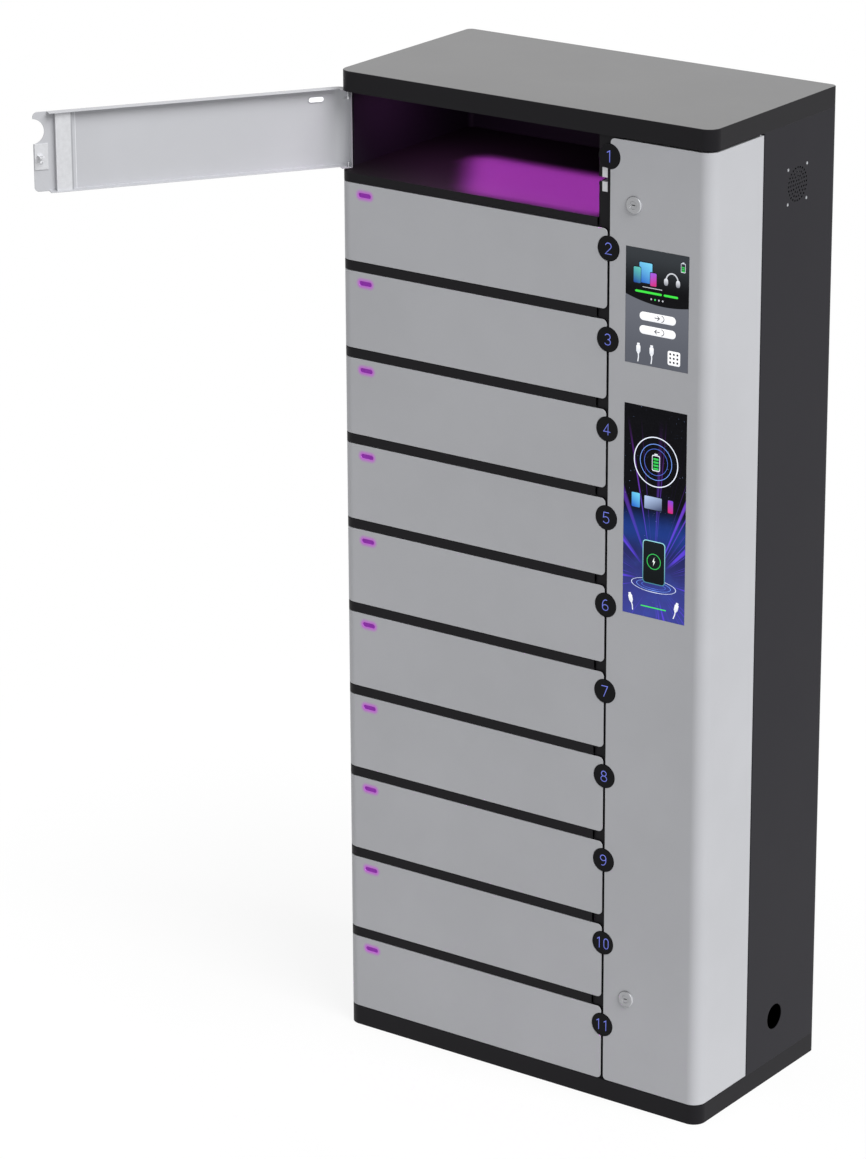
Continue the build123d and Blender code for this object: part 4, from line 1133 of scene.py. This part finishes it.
class LOCKER_OT_touch_icons(bpy.types.Operator):
    """Generic signs on the touch screen"""

    bl_idname = "locker.touch_icons"
    bl_label = "Touch Screen Icons"

    def execute(self, context):
        page = Canvas(TOUCH_Z)
        dark, ink, green = (16, 18, 24), (44, 46, 54), (64, 222, 70)
        # A tablet and two phones in front of each other
        blues, teals, pinks = (
            ((34, 92, 190), (120, 206, 236), 0.5),
            ((30, 64, 150), (96, 190, 176), 0.4),
            ((206, 44, 110), (150, 90, 220), -0.4),
        )
        page.device((-24, 63), (30, 41, 3), (18, 22, 30), (27, 37, 2), *blues)
        page.device((-42, 57), (17, 32, 3), dark, (15, 29, 2.2), *teals)
        page.device((-8, 53), (15, 27, 2.6), dark, (13, 24, 2), *pinks)
        # Headphones: a band and two cups
        page.line(arc((31, 56), (12.5, 14), 8, 172, 20), 2.6, (196, 198, 204))
        for side in (18.5, 43.5):
            page.fill(oval(8.5, 13, 2.6, centre=(side, 53)), (120, 122, 130), (224, 226, 232))
        page.battery(54, 84, 17, 3)
        # A shelf line, a green bar in two lengths, and page marks, green for the current one
        page.line([(-30, 37), (10, 37)], 1.2, (196, 198, 204))
        page.line([(-44, 28), (8, 28)], 4.0, green)
        page.line([(16, 28), (42, 28)], 4.0, green)
        for k in range(4):
            mark = oval(3.2, 3.2, centre=(-12 + 8 * k, 17))
            page.fill(mark, (64, 224, 96) if k == 1 else (190, 192, 198))
        # Two white buttons, one with an arrow in and one with an arrow out
        for rise, way in ((-16, 1), (-41, -1)):
            page.card(76, 15.5, 7.7, (2, rise), (236, 237, 241), (254, 254, 255))
            page.line([(-4, rise), (6, rise)], 1.6, ink)
            tip, barb = 1 + 5 * way, 1 + way
            page.line([(barb, rise + 3.6), (tip, rise), (barb, rise - 3.6)], 1.6, ink)
            page.line(arc((8, rise), (7.5, 6), -70, 70, 12), 1.4, ink)
        page.plug(-38, -82, 21)
        page.plug(-10, -82, 21)
        # Keypad sign: nine dots on a white square
        page.card(26, 26, 3.5, (37, -84), (240, 241, 244), (253, 253, 254))
        for k in range(9):
            dot = oval(4.2, 4.2, centre=(29.5 + 7.5 * (k % 3), -91.5 + 7.5 * (k // 3)))
            page.fill(dot, (40, 42, 48))
        page.piece("touch_screen_icons")
        return {"FINISHED"}


class LOCKER_OT_advert_icons(bpy.types.Operator):
    """Generic signs on the advert panel"""

    bl_idname = "locker.advert_icons"
    bl_label = "Advert Icons"

    def execute(self, context):
        page = Canvas(ADVERT_Z)
        dark = (14, 16, 24)
        # Rings round a battery in the upper half
        for radius, width, tint in (
            (47, 1.8, (236, 242, 255)),
            (34, 1.1, (120, 160, 246)),
            (25, 0.8, (84, 116, 220)),
        ):
            page.outline(oval(2 * radius, 2 * radius, 2, 96, (2, 98)), width, tint)
        page.battery(2, 96, 30, 4)
        # Three devices in a row under the rings
        blues, greys, reds = (
            ((30, 84, 190), (110, 206, 240), 0.6),
            ((52, 60, 96), (178, 198, 232), -0.5),
            ((210, 40, 96), (120, 70, 214), 0.5),
        )
        page.device((-40, 20), (20, 30, 2.4), dark, (17.5, 27, 1.8), *blues)
        page.device((-3, 20), (40, 27, 2.4), dark, (37, 24, 1.8), *greys)
        page.device((34, 20), (13, 27, 2.6), dark, (11, 24, 2), *reds)
        # A phone upright on a round charging stand
        for width, height, tint in (
            (96, 26, (222, 232, 255)),
            (74, 19, (110, 150, 240)),
            (52, 12, (80, 110, 210)),
        ):
            page.outline(oval(width, height, 2, 72, (0, -136)), 1.2, tint)
        page.card(48, 82, 7, (0, -92), (70, 132, 150), (150, 214, 222))
        page.card(45, 79, 6, (0, -92), (3, 8, 10), (12, 20, 26))
        page.outline(oval(30, 30, 2, 64, (0, -90)), 1.4, (58, 196, 92))
        # Lightning mark: six corners, seen whole from its middle
        left, right = [(-0.36, -0.1), (-0.03, -0.1)], [(0.36, 0.12), (0.03, 0.12)]
        bolt = np.array([(0.16, 1.0), *left, (-0.16, -1.0), *right])
        page.fill(bolt * 17 / 2 + (0, -90), (240, 250, 244))
        page.plug(-48, -172, 20, 14)
        page.plug(48, -172, 20, -14)
        page.line([(-26, -178), (26, -178)], 2.0, (70, 226, 88))
        page.piece("advert_icons")
        return {"FINISHED"}


class LOCKER_OT_hinge_springs(bpy.types.Operator):
    """Coils of the door springs, wound round the upper hinge pins"""

    bl_idname = "locker.hinge_springs"
    bl_label = "Hinge Springs"

    def execute(self, context):
        sizes = context.scene.locker_sizes
        turns, play = 7, 0.0004

        def coil(top):
            """Coil that hangs below a door's top sheet."""
            foot = top - DOOR_SHEET - sizes.coil_wire - play - sizes.coil_length
            shape = (sizes.coil_radius, sizes.coil_wire, sizes.coil_length, turns)
            return helix(*shape, (HINGE_X, HINGE_Y, foot))

        steel = metal("Spring wire", context.scene.locker_finish.zinc, 0.28, EVEN_GRAIN)
        door_pieces("hinge_spring", steel, coil)
        return {"FINISHED"}


class LOCKER_OT_latch_rivets(bpy.types.Operator):
    """Domed rivets that hold the latch plates"""

    bl_idname = "locker.latch_rivets"
    bl_label = "Latch Rivets"

    def execute(self, context):
        sizes = context.scene.locker_sizes
        share = np.array([1.0, 0.97, 0.88, 0.7, 0.45, 0.2])
        rise = np.sqrt(1 - share**2) * sizes.rivet_height

        def head(top):
            """Dome whose height is the root of 1 less the square of the radius's share."""
            height = top - HOOK_BELOW_TOP - RIVET_BELOW_HOOK
            centre = (RIVET_X, FRONT_Y + DOOR_SHEET + LATCH_PLATE, height)
            return turned_profile(share * sizes.rivet_radius, rise, centre, BACKWARD)

        steel = metal("Rivet steel", context.scene.locker_finish.zinc, 0.3, EVEN_GRAIN)
        door_pieces("latch_rivet", steel, head)
        return {"FINISHED"}


class LOCKER_OT_panel_screws(bpy.types.Operator):
    """Countersunk cross-headed screws that hold the fan"""

    bl_idname = "locker.panel_screws"
    bl_label = "Panel Screws"

    def execute(self, context):
        sizes = context.scene.locker_sizes
        cone, sunk, half = 0.0008, 0.0001, FAN_SCREW_STEP / 2
        rim_x = SIDE_FACE_X - sunk - sizes.screw_height
        skin = Skin()
        for side, rise in ((-half, -half), (-half, half), (half, -half), (half, half)):
            centre = (rim_x, FAN_Y + side, FAN_Z + rise)
            skin.add(screw_head(sizes.screw_radius, sizes.screw_height, centre, RIGHT, cone))
        skin.piece("fan_screws", screw_steel(), CABINET, "zinc_steel", 30.0)
        return {"FINISHED"}


class LOCKER_OT_socket_tongues(bpy.types.Operator):
    """Contact tongues in the ports of the charging sockets"""

    bl_idname = "locker.socket_tongues"
    bl_label = "Socket Tongues"

    def execute(self, context):
        skin = Skin()
        width, thickness, squareness, count = 0.0066, 0.0011, 5.0, 24
        reach, taper = (0.0064, 0.0018, 0.0013), np.array([1.0, 1.0, 0.86])
        sections = oval(width, thickness, squareness, count) * taper[:, None, None]
        for top in DOOR_TOPS.values():
            height = top - FLOOR_BELOW_TOP + SOCKET_ABOVE_FLOOR
            for side in (-HALF_PORT_STEP, HALF_PORT_STEP):
                place = (SOCKET_FACE_X, SOCKET_Y + side, height)
                skin.add(rings_along_x(sections, reach, place))
        white = plastic("Tongue plastic", screen_colour(224, 226, 230), 0.35, 0.5)
        skin.piece("socket_tongues", white, CABINET, "socket_plastic")
        return {"FINISHED"}


class LOCKER_OT_board_parts(bpy.types.Operator):
    """Capacitors, a coil and chips on the controller board"""

    bl_idname = "locker.board_parts"
    bl_label = "Board Parts"

    def execute(self, context):
        middle = (BOARD_LOW + BOARD_HIGH) / 2
        face = np.array([BOARD_LOW.x + BOARD_FACE, middle.y, middle.z])
        bright = metal("Capacitor can", screen_colour(196, 198, 202), 0.3, EVEN_GRAIN)
        copper = metal("Enamelled copper", screen_colour(186, 104, 60), 0.34, EVEN_GRAIN)
        black = plastic("Chip plastic", screen_colour(26, 26, 28), 0.5)
        self.cans(face).piece("board_capacitors", bright, CABINET, "board")
        self.coil(face).piece("board_coil", copper, CABINET, "board")
        self.chips(face).piece("board_chips", black, CABINET, "board")
        return {"FINISHED"}

    def cans(self, face):
        """Four turned cans, each with a groove above its foot and a bevelled head."""
        radius, first, step, up = 0.0055, -0.062, 0.014, 0.036
        radii = np.array([1.0, 1.0, 0.93, 0.93, 1.0, 1.0, 0.94, 0.5]) * radius
        heights = np.array([0.0, 0.0012, 0.0018, 0.0024, 0.0032, 0.0125, 0.013, 0.0131])
        skin = Skin()
        for k in range(4):
            skin.add(turned_profile(radii, heights, face + (0.0, first + step * k, up), RIGHT))
        return skin

    def coil(self, face):
        """Wound ring: a circle swept round a circle, whose radius swells 18 times on the way."""
        turn, small = whole_turn(90)[:, None], whole_turn(10)
        ring, winding, swell, lift, across, up = 0.0085, 0.0034, 0.08, 0.0036, 0.056, 0.034
        wound = winding * (1 + swell * np.cos(18 * turn))
        reach = ring + wound * np.cos(small)
        points = (lift + wound * np.sin(small), reach * np.cos(turn), reach * np.sin(turn))
        skin = Skin()
        skin.add(np.stack(points, -1) + face + (0.0, across, up), closed=True)
        return skin

    def chips(self, face):
        """Flat blocks with round corners, drawn in a little at the top."""
        skin, corner, taper = Skin(), 0.0006, np.array([1.0, 1.0, 0.9])
        for across, up, width, height, rise in (
            (-0.045, -0.004, 0.016, 0.010, 0.0018),
            (0.040, -0.008, 0.014, 0.014, 0.0018),
            (0.062, 0.004, 0.008, 0.005, 0.0014),
            (-0.066, 0.008, 0.008, 0.005, 0.0014),
        ):
            sections = rounded(width, height, corner) * taper[:, None, None]
            reach = np.array([0.0, 0.7, 1.0]) * rise
            skin.add(rings_along_x(sections, reach, face + (0.0, across, up)))
        return skin


class LOCKER_OT_supply_terminals(bpy.types.Operator):
    """Terminal screws along the foot of the power supply"""

    bl_idname = "locker.supply_terminals"
    bl_label = "Supply Terminals"

    def execute(self, context):
        step, half_height, depth, ridge = 0.011, 0.008, 0.0075, 0.0015
        head_radius, head_height = 0.0034, 0.0014
        middle_x = (SUPPLY_LOW.x + SUPPLY_HIGH.x) / 2
        place = (middle_x, SUPPLY_LOW.y, SUPPLY_LOW.z + TERMINAL_ROW)
        # A bar along X, deeper by a ridge on both sides of each whole step
        way = np.linspace(-4 * step, 4 * step, 89)
        comb = depth + ridge * (np.abs(((way / step) % 1) - 0.5) > 0.42)
        front = np.outer(comb, (0.0, -1.0, -1.0, 0.0))
        rise = np.broadcast_to(np.array([-1.0, -1.0, 1.0, 1.0]) * half_height, front.shape)
        block = Skin()
        block.add(rings_along_x(np.stack([front, rise], -1), way, place))
        black = plastic("Terminal plastic", screen_colour(32, 32, 34), 0.45)
        block.piece("terminal_block", black, CABINET, "supply_case")
        screws = Skin()
        for k in range(7):
            centre = np.array(place) + (step * (k - 3), -depth, 0.0)
            screws.add(screw_head(head_radius, head_height, centre, FORWARD))
        screws.piece("terminal_screws", screw_steel(), CABINET, "zinc_steel")
        return {"FINISHED"}


# ---------------------------------------------------------------- stage


def hang_lamp(name, kind, **values):
    """Lamp with its values, held in the scene."""
    lamp = bpy.data.lights.new(name, kind)
    for key, value in values.items():
        setattr(lamp, key, value)
    return hold(name, lamp)


def ceiling_light(name, place, size, power, colour, spread):
    """Rectangular light that shines straight down."""
    form = {"shape": "RECTANGLE", "size": size[0], "size_y": size[1]}
    light = {"energy": power, "color": colour, "spread": math.radians(spread)}
    hang_lamp(name, "AREA", **form, **light).location = place


def studio_rays(wires):
    """1 for camera, glossy and transmission rays, which see the white background."""
    rays = wires.add("LightPath")
    seen = wires.math("MAXIMUM", rays["Is Camera Ray"], rays["Is Glossy Ray"])
    return wires.math("MAXIMUM", seen, rays["Is Transmission Ray"])


class LOCKER_OT_stage(bpy.types.Operator):
    """Pale floor, white surroundings, soft lights and the camera"""

    bl_idname = "locker.stage"
    bl_label = "Stage"

    def execute(self, context):
        stage = context.scene.locker_stage
        self.lay_floor(stage.floor_radius)
        self.fill_world(context, stage.ambient)
        sun = hang_lamp("Broad light", "SUN", energy=stage.sun_strength, angle=stage.sun_width)
        sun.rotation_euler = Vector((-0.76, 0.19, -0.8)).to_track_quat("-Z", "Y").to_euler()
        self.light_compartment(stage, context.scene.locker_finish.lamp_violet)
        self.place_camera(context)
        context.scene.view_settings.view_transform = "Standard"
        return {"FINISHED"}

    def light_compartment(self, stage, violet):
        """Violet light in the open compartment: strips side by side whose front ends follow a
        slanted line, which together light the pool on its floor, and a weak one on the left."""
        corner_x, corner_y, slant = -0.128, -0.194, -1.574
        back_y, front_y, ceiling_z, narrow_beam = 0.028, -0.2, 1.85, 30.0
        lefts = np.array([-0.248, -0.218, -0.188, -0.158, corner_x])
        widths = np.append(np.diff(lefts), 0.298)
        middles = lefts + widths / 2
        fronts = corner_y + slant * (middles - corner_x)
        fronts[-1] = front_y
        lengths = back_y - fronts
        powers = stage.pool_power * widths * lengths / (widths * lengths).sum()
        strips = zip(middles, fronts + lengths / 2, widths, lengths, powers)
        for k, (x, y, width, length, power) in enumerate(strips, 1):
            strip = ((x, y, ceiling_z), (width, length), power, violet, narrow_beam)
            ceiling_light(f"Compartment pool {k}", *strip)
        place, size, soft_violet = (-0.26, -0.06, 1.852), (0.2, 0.16), (0.8, 0.24, 0.78)
        ceiling_light("Compartment glow", place, size, stage.glow_power, soft_violet, 180.0)

    def lay_floor(self, radius):
        """Flat disc: rings of points at radii that grow with the square of their number."""
        rings, count, floor_z, grey = 12, 64, -0.0005, (0.38, 0.38, 0.38)
        near, far = 0.6, 2.4
        turn = whole_turn(count)
        radii = radius * (np.arange(1, rings + 1) / rings)[:, None] ** 2
        x, y = radii * np.cos(turn), radii * np.sin(turn)
        flat = np.vstack([np.stack([x, y], -1).reshape(-1, 2), (0.0, 0.0)])
        points = np.column_stack([flat, np.full(len(flat), floor_z)])
        i, j = np.indices((rings - 1, count))
        low, high, beside = i * count, (i + 1) * count, (j + 1) % count
        quads = np.stack([low + j, high + j, high + beside, low + beside], -1).reshape(-1, 4)
        around = np.arange(count)
        tris = np.stack([np.full(count, rings * count), around, np.roll(around, -1)], -1)
        mesh = bpy.data.meshes.new("floor")
        mesh.from_pydata(points.tolist(), [], [*quads.tolist(), *tris.tolist()])
        material, _ = new_material("Pale floor")
        material.node_tree.nodes.clear()
        wires = Wiring(material.node_tree)
        position = wires.place()
        reach = wires.vector("LENGTH", position)
        pale = wires.scaled(grey, wires.cloud(position, 9.0, 0.985, 1.0, 4.0))
        matt = wires.add("BsdfDiffuse", {"Color": pale})[0]
        level = wires.fade(reach, near, far, 1.17, 1.0)
        white = wires.add("Emission", {"Color": WHITE, "Strength": level})[0]
        share = wires.math("MULTIPLY", wires.fade(reach, near, far, 0.76, 1.0), studio_rays(wires))
        mixed = wires.add("MixShader", {0: share, 1: matt, 2: white})[0]
        wires.add("OutputMaterial", {"Surface": mixed})
        mesh.materials.append(material)
        floor = hold("floor", mesh)

    def fill_world(self, context, ambient):
        """White to the camera and in reflections, a dimmer even light on everything else."""
        world = context.scene.world = bpy.data.worlds.new("Studio")
        world.use_nodes = True
        world.node_tree.nodes.clear()
        wires = Wiring(world.node_tree)
        dim, white = (
            wires.add("Background", {"Color": WHITE, "Strength": strength})[0]
            for strength in (ambient, 1.0)
        )
        mixed = wires.add("MixShader", {0: studio_rays(wires), 1: dim, 2: white})[0]
        wires.add("OutputWorld", {"Surface": mixed})

    def place_camera(self, context):
        """Camera at the photograph's place: azimuth and dip of its axis, then its roll."""
        azimuth, dip, roll = (math.radians(turn) for turn in CAMERA_TURNS)
        run, drop = math.cos(dip), -math.sin(dip)
        ahead = Vector((math.sin(azimuth) * run, math.cos(azimuth) * run, drop))
        level = ahead.cross(Vector((0.0, 0.0, 1.0))).normalized()
        upright = level.cross(ahead)
        right = math.cos(roll) * level + math.sin(roll) * upright
        up = -math.sin(roll) * level + math.cos(roll) * upright
        camera = bpy.data.cameras.new("Camera")
        camera.sensor_fit = "AUTO"
        camera.sensor_width = SENSOR
        camera.lens = SENSOR * FOCAL_PIXELS / IMAGE_HEIGHT
        camera.dof.use_dof = False
        held = hold("Camera", camera)
        turn = Matrix((right, up, -ahead)).transposed().to_4x4()
        held.matrix_world = Matrix.Translation(CAMERA_PLACE) @ turn
        context.scene.camera = held


# ---------------------------------------------------------------- panel and registration

OPERATORS = (
    LOCKER_OT_finish_cabinet,
    LOCKER_OT_finish_doors,
    LOCKER_OT_finish_hardware,
    LOCKER_OT_finish_service,
    LOCKER_OT_badge_numbers,
    LOCKER_OT_touch_icons,
    LOCKER_OT_advert_icons,
    LOCKER_OT_hinge_springs,
    LOCKER_OT_latch_rivets,
    LOCKER_OT_panel_screws,
    LOCKER_OT_socket_tongues,
    LOCKER_OT_board_parts,
    LOCKER_OT_supply_terminals,
    LOCKER_OT_stage,
)


class LOCKER_PT_looks(bpy.types.Panel):
    """Sidebar panel with the locker's operators and settings"""

    bl_idname = "LOCKER_PT_looks"
    bl_label = "Charging Locker"
    bl_space_type = "VIEW_3D"
    bl_region_type = "UI"
    bl_category = "Locker"

    def draw(self, context):
        column = self.layout.column(align=True)
        for operator in OPERATORS:
            column.operator(operator.bl_idname)
        for setting in SETTINGS:
            group, box = getattr(context.scene, setting), self.layout.box()
            for name in group.__annotations__:
                box.prop(group, name)


SETTINGS = {
    "locker_finish": LockerFinishSettings,
    "locker_sizes": LockerSizeSettings,
    "locker_stage": LockerStageSettings,
}
CLASSES = (*SETTINGS.values(), *OPERATORS, LOCKER_PT_looks)


def register():
    """Registers the classes and hangs the settings on the scene."""
    for each in CLASSES:
        bpy.utils.register_class(each)
    for name, group in SETTINGS.items():
        setattr(bpy.types.Scene, name, bpy.props.PointerProperty(type=group))


def unregister():
    """Takes the settings and the classes away again."""
    for name in SETTINGS:
        delattr(bpy.types.Scene, name)
    for each in reversed(CLASSES):
        bpy.utils.unregister_class(each)


def main():
    """Runs every operator in order."""
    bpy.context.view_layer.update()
    register()
    for operator in OPERATORS:
        group, name = operator.bl_idname.split(".")
        getattr(getattr(bpy.ops, group), name)()


if __name__ == "__main__":
    main()
